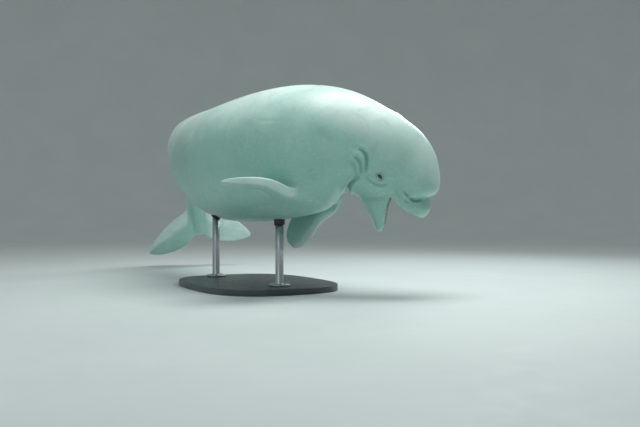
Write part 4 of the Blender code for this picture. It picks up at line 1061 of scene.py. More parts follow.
def spine_places(spine, points):
    """Distance along the spine, way to the right and height above it, for each point."""
    index = np.empty(len(points), int)
    coarse = spine.centre[::COARSE]
    for start in range(0, len(points), CHUNK):
        gaps = points[start:start + CHUNK, None, :] - coarse[None]
        index[start:start + CHUNK] = (gaps ** 2).sum(axis=2).argmin(axis=1) * COARSE
    for _ in range(2):
        offset = points - spine.centre[index]
        place = spine.places[index] - (offset * spine.forward[index]).sum(axis=1)
        index = np.clip(np.rint(place / SPINE_STEP).astype(int), 0, len(spine.places) - 1)
    offset = points - spine.centre[index]
    side = (offset * spine.right[index]).sum(axis=1)
    height = (offset * spine.up[index]).sum(axis=1)
    return place, side, height


def curve_through(knots, step):
    """A smooth curve through points, as rows of points about a step apart."""
    knots = [np.array(knot, float) for knot in knots]
    ends = [2 * knots[0] - knots[1]] + knots + [2 * knots[-1] - knots[-2]]
    rows = []
    for a, b, c, d in zip(ends, ends[1:], ends[2:], ends[3:]):
        count = max(int(np.linalg.norm(c - b) / step), 1)
        t = np.arange(count)[:, None] / count
        rows.append((
            2 * b + (c - a) * t + (2 * a - 5 * b + 4 * c - d) * t ** 2
            + (3 * b - a - 3 * c + d) * t ** 3
        ) / 2)
    rows.append(knots[-1][None])
    return np.vstack(rows)


def nearest_on_line(points, line, reach):
    """Points within reach of a line: their numbers, distances, and the line's nearest row."""
    inside = ((points > line.min(axis=0) - reach) & (points < line.max(axis=0) + reach)).all(axis=1)
    near = np.where(inside)[0]
    gap = np.empty(len(near))
    row = np.empty(len(near), int)
    for start in range(0, len(near), CHUNK):
        part = near[start:start + CHUNK]
        squares = ((points[part, None, :] - line[None]) ** 2).sum(axis=2)
        row[start:start + CHUNK] = squares.argmin(axis=1)
        gap[start:start + CHUNK] = np.sqrt(squares.min(axis=1))
    kept = gap < reach
    return near[kept], gap[kept], row[kept]


def skin_line(tree, spine, knots, mirrored):
    """A line on the skin through knots of (place along the spine, angle round it)."""
    spots = []
    for place, angle in knots:
        angle = math.radians(180.0 - angle if mirrored else angle)
        outward = spine.read(spine.right, place) * math.cos(angle)
        outward = outward + spine.read(spine.up, place) * math.sin(angle)
        start = spine.point(place, 0.0, 0.0) + outward * RAY_START
        spots.append(skin_spot(tree, start, -outward)[0])
    return curve_through(spots, FOLD_STEP)


class Sculpt:
    """Moves of the skin's points, gathered and then made at once, with the painted shade of the
    grooves and dimples.
    """

    def __init__(self, mesh):
        self.points = points_of(mesh)
        self.normals = normals_of(mesh)
        self.moves = np.zeros_like(self.points)
        self.creases = np.zeros(len(self.points))

    def fold(self, line, width, depth, roll, lean=0.0):
        """Press a groove along a line, with a soft roll of skin on both sides of it. The roll on
        the left-hand side of the line, seen from outside, may lean over the groove. A steep groove
        also gets painted shade."""
        near, gap, row = nearest_on_line(self.points, line, FOLD_REACH * width)
        tangent = np.gradient(line, axis=0)[row]
        across = np.cross(self.normals[near], tangent)
        across /= np.linalg.norm(across, axis=1)[:, None] + TINY
        signed = gap * np.sign(((self.points[near] - line[row]) * across).sum(axis=1))
        ends = np.minimum(row, len(line) - 1 - row) / (len(line) - 1)
        fade = smooth_steps(ends / FOLD_FADE)
        groove = np.exp(-(signed / width) ** 2)
        rolls = np.exp(-((np.abs(signed) - ROLL_OFFSET * width) / (ROLL_WIDTH * width)) ** 2)
        rolls *= np.where(signed > 0.0, 1.0, FAR_ROLL)
        self.moves[near] += self.normals[near] * ((roll * rolls - depth * groove) * fade)[:, None]
        over = np.exp(-((signed - width) / width) ** 2) * fade
        self.moves[near] -= across * (lean * over)[:, None]
        low, high = SHADE_STEEPNESS
        groove_shade = smooth_step((depth / width - low) / (high - low))
        self.creases[near] = np.maximum(self.creases[near], groove * fade * groove_shade)

    def bump(self, spot, radius, height):
        """Raise a soft bump, or sink a dimple where the height is below 0, which also gets painted
        shade.
        """
        gap = np.linalg.norm(self.points - spot, axis=1)
        self.moves += self.normals * (height * np.exp(-(gap / radius) ** 2))[:, None]
        if height < 0.0:
            self.creases = np.maximum(self.creases, np.exp(-(gap / radius) ** 2))

    def finish(self, mesh):
        set_points(mesh, self.points + self.moves)
        set_values(mesh, "crease", self.creases)


def make_teeth(name, spine, upper):
    """Pegs along the gum of one jaw, as one piece."""
    shape = bmesh.new()
    for number, (foot, direction) in enumerate(tooth_places(spine, upper)):
        swing = math.sin(TOOTH_VARIETY * number)
        tall = TOOTH_HEIGHT * (1.0 + TOOTH_UNEVEN * swing)
        foot = foot - direction * TOOTH_SINK
        side = unit(np.cross(direction, (0.0, 1.0, 0.0)))
        other = np.cross(direction, side)
        lean = side * TOOTH_LEAN * math.sin(TOOTH_VARIETY * 2.0 * number + 1.0)
        rings = []
        for level, width in TOOTH_PROFILE:
            centre = foot + (direction + lean * level) * level * tall
            rings.append([
                shape.verts.new(centre + (side * math.cos(a) + other * math.sin(a) * TOOTH_FLAT)
                                * TOOTH_RADIUS * width)
                for a in np.arange(TOOTH_SIDES) * 2.0 * math.pi / TOOTH_SIDES
            ])
        join_loops(shape, rings)
        shape.faces.new(rings[0][::-1])
        shape.faces.new(rings[-1])
    bmesh.ops.recalc_face_normals(shape, faces=shape.faces)
    return from_bmesh(name, shape)


def join_loops(shape, loops):
    """Join closed loops of points with rows of faces."""
    for first, second in zip(loops, loops[1:]):
        for i in range(len(first)):
            j = (i + 1) % len(first)
            shape.faces.new((first[i], first[j], second[j], second[i]))


def solid_of(name, shape, rings):
    """An object with faces between closed rings of points and over both ends."""
    join_loops(shape, rings)
    shape.faces.new(rings[0][::-1])
    shape.faces.new(rings[-1])
    bmesh.ops.recalc_face_normals(shape, faces=shape.faces)
    return from_bmesh(name, shape)


def circle(shape, centre, radius, height, sides):
    """A level ring of points."""
    ring = []
    for i in range(sides):
        angle = 2.0 * math.pi * i / sides
        x = centre[0] + radius * math.cos(angle)
        y = centre[1] + radius * math.sin(angle)
        ring.append(shape.verts.new((x, y, height)))
    return ring


def tooth_places(spine, upper):
    """Foot and direction of each peg of one jaw."""
    places = []
    forward, up = spine.read(spine.forward, 0.0), spine.read(spine.up, 0.0)
    for i in range(2 * TEETH):
        t = (i + 0.5) / (2 * TEETH)
        swing = math.pi * (TOOTH_SWING[0] + TOOTH_SWING[1] * t)
        share = TOOTH_SHARE[0] + TOOTH_SHARE[1] * math.sin(swing)
        side = math.copysign(1.0, math.cos(swing)) * (mouth_width(share) - GUM_INWARD)
        if upper:
            away = UPPER_OPENING[1]
            back, raised = UPPER_TOOTH_SHIFT
            behind, _, height = upper_lip_point(LIP_REACH * (1.0 - share) + back)
        else:
            away = LOWER_OPENING[1]
            back, raised = LOWER_TOOTH_SHIFT
            height = -LOWER_REACH * share
            heights = [-place[1] for place in LOWER_LIP]
            behind = back + np.interp(-height - raised, heights, [place[0] for place in LOWER_LIP])
            side *= LOWER_TOOTH_NARROW
        foot = spine.head_point(behind, side, height + raised)
        places.append((foot, unit(up * away[2] - forward * away[0])))
    return places


def make_tongue(spine):
    """A broad flat tongue with a furrow down its middle and a free front edge."""
    slope = math.radians(TONGUE_SLOPE)
    forward, up = spine.read(spine.forward, 0.0), spine.read(spine.up, 0.0)
    along = forward * math.cos(slope) - up * math.sin(slope)
    lift = forward * math.sin(slope) + up * math.cos(slope)
    middle = spine.head_point(TONGUE_MIDDLE[0], 0.0, TONGUE_MIDDLE[1])
    place = frame_matrix(middle, along, np.cross(lift, along), lift)
    shape = bmesh.new()
    bmesh.ops.create_uvsphere(shape, u_segments=TONGUE_SIDES, v_segments=TONGUE_RINGS, radius=1.0)
    for vert in shape.verts:
        x, y, z = vert.co
        furrow = TONGUE_FURROW * math.exp(-(y / TONGUE_FURROW_WIDTH) ** 2) * max(z, 0.0)
        vert.co.z = z - furrow
        vert.co.y = y * (1.0 - TONGUE_TAPER * x)
    bmesh.ops.transform(shape, matrix=place @ Matrix.Diagonal((*TONGUE_HALF, 1.0)),
                        verts=shape.verts)
    return from_bmesh("tongue_flesh", shape)


def eye_frame(tree, spine, side):
    """The eye's place on the skin: matrix with the third axis outward and the first one forward."""
    start = spine.head_point(EYE_BEHIND, side * RAY_START, EYE_HEIGHT)
    inward = -side * spine.read(spine.right, EYE_BEHIND)
    spot, normal = skin_spot(tree, start, inward)
    forward = spine.read(spine.forward, EYE_BEHIND)
    up = spine.read(spine.up, EYE_BEHIND)
    tilt = math.radians(EYE_TILT)
    along = forward * math.cos(tilt) - up * math.sin(tilt)
    along = unit(along - normal * np.dot(along, normal))
    return frame_matrix(spot, along, np.cross(normal, along), normal)


def blowhole_frame(tree, spine):
    """The blowhole's place on top of the head: first axis to the right, second forward."""
    start = spine.head_point(BLOWHOLE_BEHIND, BLOWHOLE_SIDE, RAY_START)
    spot, normal = skin_spot(tree, start, -spine.read(spine.up, BLOWHOLE_BEHIND))
    forward = spine.read(spine.forward, BLOWHOLE_BEHIND)
    forward = unit(forward - normal * np.dot(forward, normal))
    return frame_matrix(spot, np.cross(forward, normal), forward, normal)


def local_points(matrix, points):
    inverse = np.array(matrix.inverted())
    return points @ inverse[:3, :3].T + inverse[:3, 3]


def raise_mound(mesh, matrix, mound):
    """Lift the skin round a spot into a low, soft mound, longer than it is wide."""
    half_length, half_width, height = mound
    points = points_of(mesh)
    local = local_points(matrix, points)
    away = np.hypot(local[:, 0] / half_length, local[:, 1] / half_width)
    lift = height * (1.0 - np.minimum(away, 1.0) ** 2) ** 2
    lift[np.abs(local[:, 2]) > half_length] = 0.0
    set_points(mesh, points + np.array(matrix.to_3x3().col[2]) * lift[:, None])


def eye_centre(name):
    low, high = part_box(name)
    return (low + high) / 2


def lid_rim(angle):
    """The almond rim between the lids, at an angle round the eye."""
    x = LID_LENGTH * math.cos(angle)
    y = LID_UPPER if math.sin(angle) > 0.0 else LID_LOWER
    return x, y * math.sin(angle) * abs(math.sin(angle))


def rim_level(x, y, margin):
    """How far out the lids lie where they wrap the ball."""
    reach = EYE_RADIUS + margin
    return math.sqrt(max(reach * reach - x * x - y * y, LID_LEAST ** 2))


def open_skin(shape, place):
    """Cut the skin away round an eye. Gives the hole's edge, counter-clockwise from outside."""
    centre = place.translation
    inverse = place.inverted()
    gone = []
    for face in shape.faces:
        middle = face.calc_center_median()
        if (middle - centre).length > LID_SEARCH:
            continue
        local = inverse @ middle
        if math.hypot(local.x, local.y) < LID_REACH and local.z > 0.0:
            gone.append(face)
    bmesh.ops.delete(shape, geom=gone, context="FACES")
    loop = ordered_loop([
        edge for edge in shape.edges
        if edge.is_boundary and (edge.verts[0].co - centre).length < LID_SEARCH
    ])
    starts = [inverse @ vert.co for vert in loop]
    if sum(a.x * b.y - a.y * b.x for a, b in zip(starts, starts[1:] + starts[:1])) < 0.0:
        loop.reverse()
    return loop


def bell(value, middle, width):
    return math.exp(-((value - middle) / width) ** 2)


def lid_height(share, x, y, skin_level):
    """Height of a lid above the ball's middle, at a share of the way from the hole to the rim."""
    level = rim_level(x, y, LID_MARGIN)
    wrap = smooth_step((share - LID_WRAP_START) / (1.0 - LID_WRAP_START))
    height = skin_level + (level - skin_level) * wrap
    height += LID_ROLL * bell(share, LID_ROLL_AT, LID_ROLL_WIDTH)
    return height - LID_FOLD * bell(share, LID_FOLD_AT, LID_FOLD_WIDTH)


def lid_rows(shape, tree, place, starts):
    """Rows of points from the hole in the skin to the almond rim."""
    inverse = place.inverted()
    outward = place.to_3x3().col[2]
    rows = []
    for share in LID_ROWS:
        row = []
        for start in starts:
            rim_x, rim_y = lid_rim(math.atan2(start.y, start.x))
            x = start.x + (rim_x - start.x) * share
            y = start.y + (rim_y - start.y) * share
            spot, _, _, _ = tree.ray_cast(place @ Vector((x, y, LID_RAY)), -outward)
            height = lid_height(share, x, y, (inverse @ spot).z)
            row.append(shape.verts.new(place @ Vector((x, y, height))))
        rows.append(row)
    return rows


def socket_rows(shape, place, angles):
    """Rows of points from the rim in behind the lids and round the back of the ball."""
    rings = []
    for out, level_share in LID_INNER:
        ring = []
        for angle in angles:
            rim_x, rim_y = lid_rim(angle)
            x = rim_x + (SOCKET_RADIUS * math.cos(angle) - rim_x) * out
            y = rim_y + (SOCKET_RADIUS * math.sin(angle) - rim_y) * out
            ring.append((x, y, rim_level(x, y, SOCKET_GAP) * level_share))
        rings.append(ring)
    for turn in SOCKET_TURNS:
        reach = SOCKET_RADIUS * math.cos(math.radians(turn))
        level = -SOCKET_RADIUS * math.sin(math.radians(turn))
        rings.append([(reach * math.cos(a), reach * math.sin(a), level) for a in angles])
    return [[shape.verts.new(place @ Vector(point)) for point in ring] for ring in rings]


def mark_lids(shape, lids, socket):
    """Paint shade into the fold of the lids, onto their rim and into the socket behind it, and wet
    what lies behind the rim.
    """
    wet = shape.verts.layers.float["wet"]
    crease = shape.verts.layers.float["crease"]
    for share, row in zip(LID_ROWS, lids):
        fold = LID_FOLD_SHADE * bell(share, LID_FOLD_AT, LID_FOLD_WIDTH)
        rim_shade = LID_RIM_SHADE * smooth_step((share - LID_RIM_SHADE_START) / (1.0 - LID_RIM_SHADE_START))
        for vert in row:
            vert[crease] = max(fold, rim_shade)
    for row in socket:
        for vert in row:
            vert[crease] = LID_RIM_SHADE
    for row in lids[-1:] + socket:
        for vert in row:
            vert[wet] = LID_WET


def build_lids(skin, tree, name, matrix):
    """Rebuild the skin round an eye as lids that wrap the ball and turn in behind it."""
    place = matrix.copy()
    place.translation = eye_centre(name)
    inverse = place.inverted()
    shape = bmesh.new()
    shape.from_mesh(skin.data)
    loop = open_skin(shape, place)
    starts = [inverse @ vert.co for vert in loop]
    lids = lid_rows(shape, tree, place, starts)
    socket = socket_rows(shape, place, [math.atan2(start.y, start.x) for start in starts])
    join_loops(shape, [loop] + lids + socket)
    shape.faces.new(socket[-1])
    mark_lids(shape, lids, socket)
    shape.to_mesh(skin.data)
    shape.free()


def ordered_loop(edges):
    """The points of a closed chain of edges, in order."""
    links = {}
    for edge in edges:
        for vert in edge.verts:
            links.setdefault(vert, []).append(edge)
    start = edges[0].verts[0]
    loop = [start]
    edge = edges[0]
    vert = edge.other_vert(start)
    while vert is not start:
        loop.append(vert)
        edge = next(other for other in links[vert] if other is not edge)
        vert = edge.other_vert(vert)
    return loop


def make_eye(name, node, matrix):
    """An eye ball with a slightly raised cornea, marked by the angle from its middle."""
    place = matrix.copy()
    place.translation = eye_centre(node)
    shape = bmesh.new()
    bmesh.ops.create_uvsphere(shape, u_segments=EYE_SIDES, v_segments=EYE_RINGS, radius=1.0)
    for vert in shape.verts:
        away = math.degrees(math.acos(max(min(vert.co.z, 1.0), -1.0)))
        swell = CORNEA_HEIGHT * (1.0 - smooth_step(away / CORNEA_ANGLE))
        vert.co *= 1.0 + swell
    bmesh.ops.transform(shape, matrix=place @ Matrix.Scale(EYE_RADIUS, 4), verts=shape.verts)
    eye = from_bmesh(name, shape)
    local = local_points(place, points_of(eye.data)) / EYE_RADIUS
    angle = np.degrees(np.arctan2(np.hypot(local[:, 0] * PUPIL_WIDE, local[:, 1]), local[:, 2]))
    set_values(eye.data, "gaze", angle)
    return eye


def press_blowhole(sculpt, matrix):
    """A crescent furrow whose hollow side faces forward, with soft lips and painted shade in the
    furrow.
    """
    local = local_points(matrix, sculpt.points)
    near = np.where((np.abs(local) < BLOWHOLE_REACH).all(axis=1))[0]
    x, y = local[near, 0] / BLOWHOLE_HALF_WIDTH, local[near, 1]
    middle, end = BLOWHOLE_BEND
    offset = y + BLOWHOLE_BOW * (middle - np.minimum(x * x, end))
    full, fade = BLOWHOLE_ENDS
    ends = 1.0 - smooth_steps((np.abs(x) - full) / fade)
    groove = np.exp(-(offset / BLOWHOLE_SLIT) ** 2) * ends
    lips = np.exp(-((np.abs(offset) - BLOWHOLE_LIP_AT) / BLOWHOLE_LIP_WIDTH) ** 2) * ends
    normal = np.array(matrix.to_3x3().col[2])
    sculpt.moves[near] += normal * (BLOWHOLE_LIP * lips - BLOWHOLE_DEEP * groove)[:, None]
    sculpt.creases[near] = np.maximum(sculpt.creases[near], groove)


def shape_skin(cage, spine):
    """The whole skin: smoothed cage, mounds, folds, furrows and lids."""
    skin = raw_skin(cage)
    mesh = skin.data
    ease_roots(cage, mesh)
    tree = tree_of(mesh)
    for side in (1.0, -1.0):
        raise_mound(mesh, eye_frame(tree, spine, side), LID_MOUND)
    raise_mound(mesh, blowhole_frame(tree, spine), BLOWHOLE_MOUND)
    tree = tree_of(mesh)
    eyes = {"eye_right": eye_frame(tree, spine, 1.0), "eye_left": eye_frame(tree, spine, -1.0)}
    sculpt = Sculpt(mesh)
    for knots, width, depth, roll, lean in FOLDS:
        for mirrored in (False, True):
            path = knots[::-1] if mirrored else knots
            sculpt.fold(skin_line(tree, spine, path, mirrored), width, depth, roll, lean)
    for knots, width, depth, roll, lean in SINGLE_FOLDS:
        sculpt.fold(skin_line(tree, spine, knots, False), width, depth, roll, lean)
    for place, angle, radius, height in BUMPS:
        for mirrored in (False, True):
            sculpt.bump(skin_line(tree, spine, ((place, angle), (place, angle + 1.0)), mirrored)[0],
                        radius, height)
    press_blowhole(sculpt, blowhole_frame(tree, spine))
    sculpt.finish(mesh)
    tree = tree_of(mesh)
    for name, matrix in eyes.items():
        build_lids(skin, tree, name, matrix)
    mesh.polygons.foreach_set("use_smooth", [True] * len(mesh.polygons))
    place, side, height = spine_places(spine, points_of(mesh))
    set_values(mesh, "place", place)
    set_values(mesh, "turn", np.arctan2(height, side))
    return skin, eyes


def tree_of(mesh):
    shape = bmesh.new()
    shape.from_mesh(mesh)
    tree = BVHTree.FromBMesh(shape)
    shape.free()
    return tree


def round_slab(name, levels, outline):
    """A slab with one outline, drawn in at each of its levels by some distance."""
    shape = bmesh.new()
    rings = []
    for height, inset in levels:
        ring = []
        for point, inward in outline:
            spot = point + inward * inset
            ring.append(shape.verts.new((spot[0], spot[1], height)))
        rings.append(ring)
    return solid_of(name, shape, rings)


def base_outline():
    """Points of the base's rounded rectangle, each with the direction square inward."""
    turn = math.radians(BASE_TURN)
    angles = np.arange(BASE_SIDES) * 2.0 * math.pi / BASE_SIDES
    c, s = np.cos(angles), np.sin(angles)
    x = BASE_HALF[0] * np.sign(c) * np.abs(c) ** (2.0 / BASE_CORNER)
    y = BASE_HALF[1] * np.sign(s) * np.abs(s) ** (2.0 / BASE_CORNER)
    points = np.stack([
        x * math.cos(turn) - y * math.sin(turn), x * math.sin(turn) + y * math.cos(turn)
    ], axis=1)
    along = np.roll(points, -1, axis=0) - np.roll(points, 1, axis=0)
    inward = np.stack([-along[:, 1], along[:, 0]], axis=1)
    inward /= np.linalg.norm(inward, axis=1)[:, None]
    return list(zip(points, inward))


def lathe(name, centre, profile, sides):
    """A round piece about an upright line, from rows of radius and height."""
    shape = bmesh.new()
    rings = [circle(shape, centre, radius, height, sides) for radius, height in profile]
    return solid_of(name, shape, rings)


def belly_height(tree, x, y):
    """Height of the belly's skin above a point of the floor."""
    spot, _, _, _ = tree.ray_cast(Vector((x, y, BASE_HEIGHT)), Vector((0.0, 0.0, 1.0)))
    return spot.z


def make_rod(name, tree, spot):
    """A steel rod from its round foot on the base up to the belly."""
    angles = np.arange(PAD_PROBES) * 2.0 * math.pi / PAD_PROBES
    top = max(
        belly_height(tree, spot[0] + PAD_RADIUS * math.cos(a), spot[1] + PAD_RADIUS * math.sin(a))
        for a in angles
    )
    turn = ROUND_SHARE * FOOT_ROUND
    profile = (
        (ROD_FOOT_RADIUS, BASE_HEIGHT), (ROD_FOOT_RADIUS, FOOT_TOP - FOOT_ROUND),
        (ROD_FOOT_RADIUS - turn, FOOT_TOP - turn),
        (ROD_FOOT_RADIUS - FOOT_ROUND, FOOT_TOP), (ROD_RADIUS + FOOT_ROUND, FOOT_TOP),
        (ROD_RADIUS + turn, FOOT_TOP + turn), (ROD_RADIUS, FOOT_TOP + FOOT_ROUND),
        (ROD_RADIUS, (FOOT_TOP + top) / 2), (ROD_RADIUS, top),
    )
    return lathe(name, spot, profile, ROD_FINE_SIDES)


def make_pad(name, tree, spot):
    """A soft dark pad on top of a rod, whose rings follow the belly."""
    shape = bmesh.new()
    rings = []
    for radius, level in PAD_RINGS:
        ring = circle(shape, spot, radius, 0.0, ROD_FINE_SIDES)
        for vert in ring:
            vert.co.z = belly_height(tree, vert.co.x, vert.co.y) + level
        rings.append(ring)
    return solid_of(name, shape, rings)


def make_screws(name, spot):
    """Round screws with a sunk middle, on a rod's foot."""
    screws = []
    profile = [(share * SCREW_RADIUS, FOOT_TOP + rise) for share, rise in SCREW_PROFILE]
    for i in range(SCREWS):
        angle = 2.0 * math.pi * (i + 0.5) / SCREWS
        at = (spot[0] + SCREW_CIRCLE * math.cos(angle), spot[1] + SCREW_CIRCLE * math.sin(angle))
        screws.append(lathe(name + "_" + str(i), at, profile, SCREW_SIDES))
    return screws


class Graph:
    """One material, and short ways to add its nodes and join them."""

    def __init__(self, name):
        self.material = bpy.data.materials.new(name)
        self.material.use_nodes = True
        self.tree = self.material.node_tree
        self.shader = next(n for n in self.tree.nodes if n.type == "BSDF_PRINCIPLED")
        self.place = self.add("ShaderNodeTexCoord").outputs["Object"]

    def add(self, kind, **settings):
        node = self.tree.nodes.new(kind)
        for name, value in settings.items():
            setattr(node, name, value)
        return node

    def put(self, socket, value):
        if isinstance(value, bpy.types.NodeSocket):
            self.tree.links.new(value, socket)
        else:
            socket.default_value = value

    def set(self, name, value):
        self.put(self.shader.inputs[name], value)

    def set_all(self, values):
        for name, value in values.items():
            self.set(name, value)

    def mark(self, name):
        return self.add("ShaderNodeAttribute", attribute_name=name).outputs["Fac"]

    def stretched(self, scale):
        node = self.add("ShaderNodeMapping")
        self.put(node.inputs["Vector"], self.place)
        node.inputs["Scale"].default_value = scale
        return node.outputs["Vector"]

    def noise(self, scale, detail=4.0, rough=0.55, warp=0.0, vector=None):
        node = self.add("ShaderNodeTexNoise")
        self.put(node.inputs["Vector"], vector or self.place)
        node.inputs["Scale"].default_value = scale
        node.inputs["Detail"].default_value = detail
        node.inputs["Roughness"].default_value = rough
        node.inputs["Distortion"].default_value = warp
        return node.outputs["Fac"]

    def streaks(self, across, count, along, waves):
        """Noise in streaks: many across one of the skin's marks, few along another."""
        joined = self.add("ShaderNodeCombineXYZ")
        self.put(joined.inputs["X"], self.maths("MULTIPLY", self.mark(across), count))
        self.put(joined.inputs["Y"], self.maths("MULTIPLY", self.mark(along), waves))
        return self.noise(*STREAK_NOISE, joined.outputs["Vector"])

    def cells(self, scale, feature="F1"):
        node = self.add("ShaderNodeTexVoronoi", feature=feature)
        self.put(node.inputs["Vector"], self.place)
        node.inputs["Scale"].default_value = scale
        return node.outputs["Distance"]

    def between(self, value, low, high, first=0.0, last=1.0):
        node = self.add("ShaderNodeMapRange", interpolation_type="SMOOTHSTEP")
        for name, number in (
            ("Value", value), ("From Min", low), ("From Max", high), ("To Min", first),
            ("To Max", last),
        ):
            self.put(node.inputs[name], number)
        return node.outputs["Result"]

    def patches(self, noise, span):
        return self.between(self.noise(*noise), *span)

    def times(self, first, second):
        return self.maths("MULTIPLY", first, second)

    def relief(self, rows):
        """Sum of noises, each times its height."""
        total = 0.0
        for noise, height in rows:
            total = self.maths("ADD", total, self.times(self.noise(*noise), height))
        return total

    def maths(self, operation, first, second=0.0):
        node = self.add("ShaderNodeMath", operation=operation)
        self.put(node.inputs[0], first)
        self.put(node.inputs[1], second)
        return node.outputs["Value"]

    def mix(self, share, first, second):
        node = self.add("ShaderNodeMix", data_type="RGBA")
        self.put(node.inputs["Factor"], share)
        for socket, colour in ((node.inputs[6], first), (node.inputs[7], second)):
            self.put(socket, colour if isinstance(colour, bpy.types.NodeSocket) else (*colour, 1.0))
        return node.outputs[2]

    def bump(self, height, distance, strength=1.0):
        node = self.add("ShaderNodeBump")
        node.inputs["Strength"].default_value = strength
        node.inputs["Distance"].default_value = distance
        self.put(node.inputs["Height"], height)
        self.set("Normal", node.outputs["Normal"])


def skin_painted_lighting(graph, fin):
    """Painted lighting: a lit back, a shaded flank and a darker shaded belly, broken up by random
    patches, and a painted highlight along the front of each fin.
    """
    patchy = graph.maths("SUBTRACT", graph.noise(*SKIN_PATCHES), HALF_WAY)
    patchy = graph.times(patchy, PATCH_STRENGTH)
    # The higher round the body a point lies, the more painted light it gets.
    rise = graph.maths("ADD", graph.maths("SINE", graph.mark("turn")), patchy)
    # Painted highlight along the fins' lit front edge, fading towards the rear.
    front = graph.between(graph.mark("chord"), *FIN_HIGHLIGHT_BAND, FIN_FRONT_PAINTED_HIGHLIGHT, FIN_REAR_PAINTED_LIGHT)
    rise = graph.maths("ADD", rise, graph.times(fin, front))
    colour = graph.mix(graph.between(rise, *LIT_BACK_SPAN), SKIN_PAINTED_SHADE_FLANK, SKIN_PAINTED_LIT_BACK)
    return graph.mix(graph.between(rise, *SHADED_BELLY_SPAN), SKIN_PAINTED_SHADE_BELLY, colour)


def skin_scratches(graph):
    """Thin lines, in some places only."""
    lines = graph.noise(*SCRATCH_LINES, graph.stretched(SCRATCH_STRETCH))
    away = graph.maths("ABSOLUTE", graph.maths("SUBTRACT", lines, HALF_WAY))
    return graph.times(graph.between(away, *SCRATCH_SPAN), graph.patches(*SCRATCH_AREAS))


def skin_colour(graph, fin, scratch):
    """The painted lighting under clouds, blotches, speckles, scratches, painted crease shade and
    edges, pink where wet.
    """
    colour = skin_painted_lighting(graph, fin)
    for noise, span, tone in SKIN_LAYERS:
        colour = graph.mix(graph.patches(noise, span), colour, tone)
    speckle = graph.between(graph.cells(SPECKLE_CELLS), *SPECKLE_SPAN)
    speckle = graph.times(speckle, graph.patches(*SPECKLE_AREAS))
    # Painted shade in creases and hollows.
    crease = graph.times(graph.mark("crease"), CREASE_SHADE_STRENGTH)
    trailing = graph.between(graph.mark("chord"), *EDGE_SPAN)
    limb = graph.between(graph.mark("limb"), *EDGE_LIMB)
    edge = graph.times(graph.times(trailing, limb), EDGE_DARK)
    for share, tone in (
        (speckle, SKIN_SPECKLE), (scratch, SKIN_SCRATCH), (crease, SKIN_CREASE_SHADE), (edge, SKIN_EDGE),
    ):
        colour = graph.mix(share, colour, tone)
    flesh = graph.mix(graph.patches(*MOUTH_PATCHES), MOUTH_LIGHT, MOUTH_DARK)
    return graph.mix(graph.between(graph.mark("wet"), *WET_SPAN), colour, flesh)


def skin_height(graph, fin, scratch):
    """Grain, pores and ripples, rings round the body, ribs along the fins, and the scratches."""
    pores = graph.between(graph.cells(PORE_CELLS), *PORE_SPAN)
    rings = graph.times(graph.streaks(*RING_STREAKS), RING_HEIGHT)
    ribs = graph.times(graph.times(graph.streaks(*RIB_STREAKS), fin), RIB_HEIGHT)
    height = graph.relief(SKIN_RELIEF)
    for part in (pores, rings, ribs):
        height = graph.maths("ADD", height, part)
    return graph.maths("SUBTRACT", height, graph.times(scratch, SCRATCH_DEPTH))


def skin_material():
    """Pale, cool skin with painted light on the back, painted shade on the flank, belly and creases,
    soft clouds, faint blotches, speckles and scratches, pink where wet.
    """
    graph = Graph("beluga_skin")
    fin = graph.between(graph.mark("limb"), *FIN_SPAN)
    scratch = skin_scratches(graph)
    graph.set("Base Color", skin_colour(graph, fin, scratch))
    rough = graph.patches(SKIN_UNEVEN, (*WIDE_SPAN, *SKIN_ROUGHNESS))
    shine = graph.times(graph.mark("wet"), WET_SHINE)
    graph.set("Roughness", graph.maths("SUBTRACT", rough, shine))
    graph.set_all(SKIN_SHEEN)
    graph.bump(skin_height(graph, fin, scratch), *SKIN_BUMP)
    return graph.material


def eye_material():
    """A dark brown eye: nearly black rim, faint brown iris and a black pupil, all glossy."""
    graph = Graph("beluga_eye")
    gaze = graph.mark("gaze")
    fibres = graph.noise(*EYE_FIBRES)
    iris = graph.mix(graph.between(fibres, *FIBRE_SPAN), EYE_IRIS, EYE_IRIS_LIGHT)
    colour = graph.mix(graph.between(gaze, *PUPIL_END), EYE_BLACK, iris)
    graph.set("Base Color", graph.mix(graph.between(gaze, *IRIS_END), colour, EYE_RIM))
    graph.set_all(EYE_SHEEN)
    graph.bump(fibres, *EYE_BUMP)
    return graph.material


def steel_material():
    """Brushed steel, with fine marks that run round the rods."""
    graph = Graph("brushed_steel")
    marks = graph.noise(*STEEL_MARKS, graph.stretched(STEEL_STRETCH))
    graph.set("Base Color", graph.mix(graph.between(marks, *WIDE_SPAN), STEEL_DARK, STEEL_LIGHT))
    graph.set("Metallic", 1.0)
    graph.set("Roughness", graph.between(marks, *WIDE_SPAN, *STEEL_ROUGHNESS))
    graph.bump(marks, *STEEL_BUMP)
    return graph.material


def plain_material(name, tones, patches, uneven, roughness, relief, bump, sheen):
    """Two tones in patches, an uneven roughness and a fine relief."""
    graph = Graph(name)
    graph.set("Base Color", graph.mix(graph.patches(*patches), *tones))
    graph.set("Roughness", graph.patches(uneven, (*WIDE_SPAN, *roughness)))
    graph.set_all(sheen)
    graph.bump(graph.relief(relief), *bump)
    return graph.material


def flesh_material():
    return plain_material(
        "mouth_flesh", tones=(TONGUE_LIGHT, TONGUE_DARK), patches=((42.0, 5.0), (0.35, 0.7)),
        uneven=(90.0, 3.0), roughness=(0.28, 0.42),
        relief=(((300.0, 4.0, 0.6), 1.0), ((60.0, 4.0, 0.6), 1.5)), bump=(0.0015, 0.5),
        sheen={
            "Subsurface Weight": 0.2, "Subsurface Radius": (1.0, 0.4, 0.3),
            "Subsurface Scale": 0.006, "Coat Weight": 0.4, "Coat Roughness": 0.15,
        },
    )


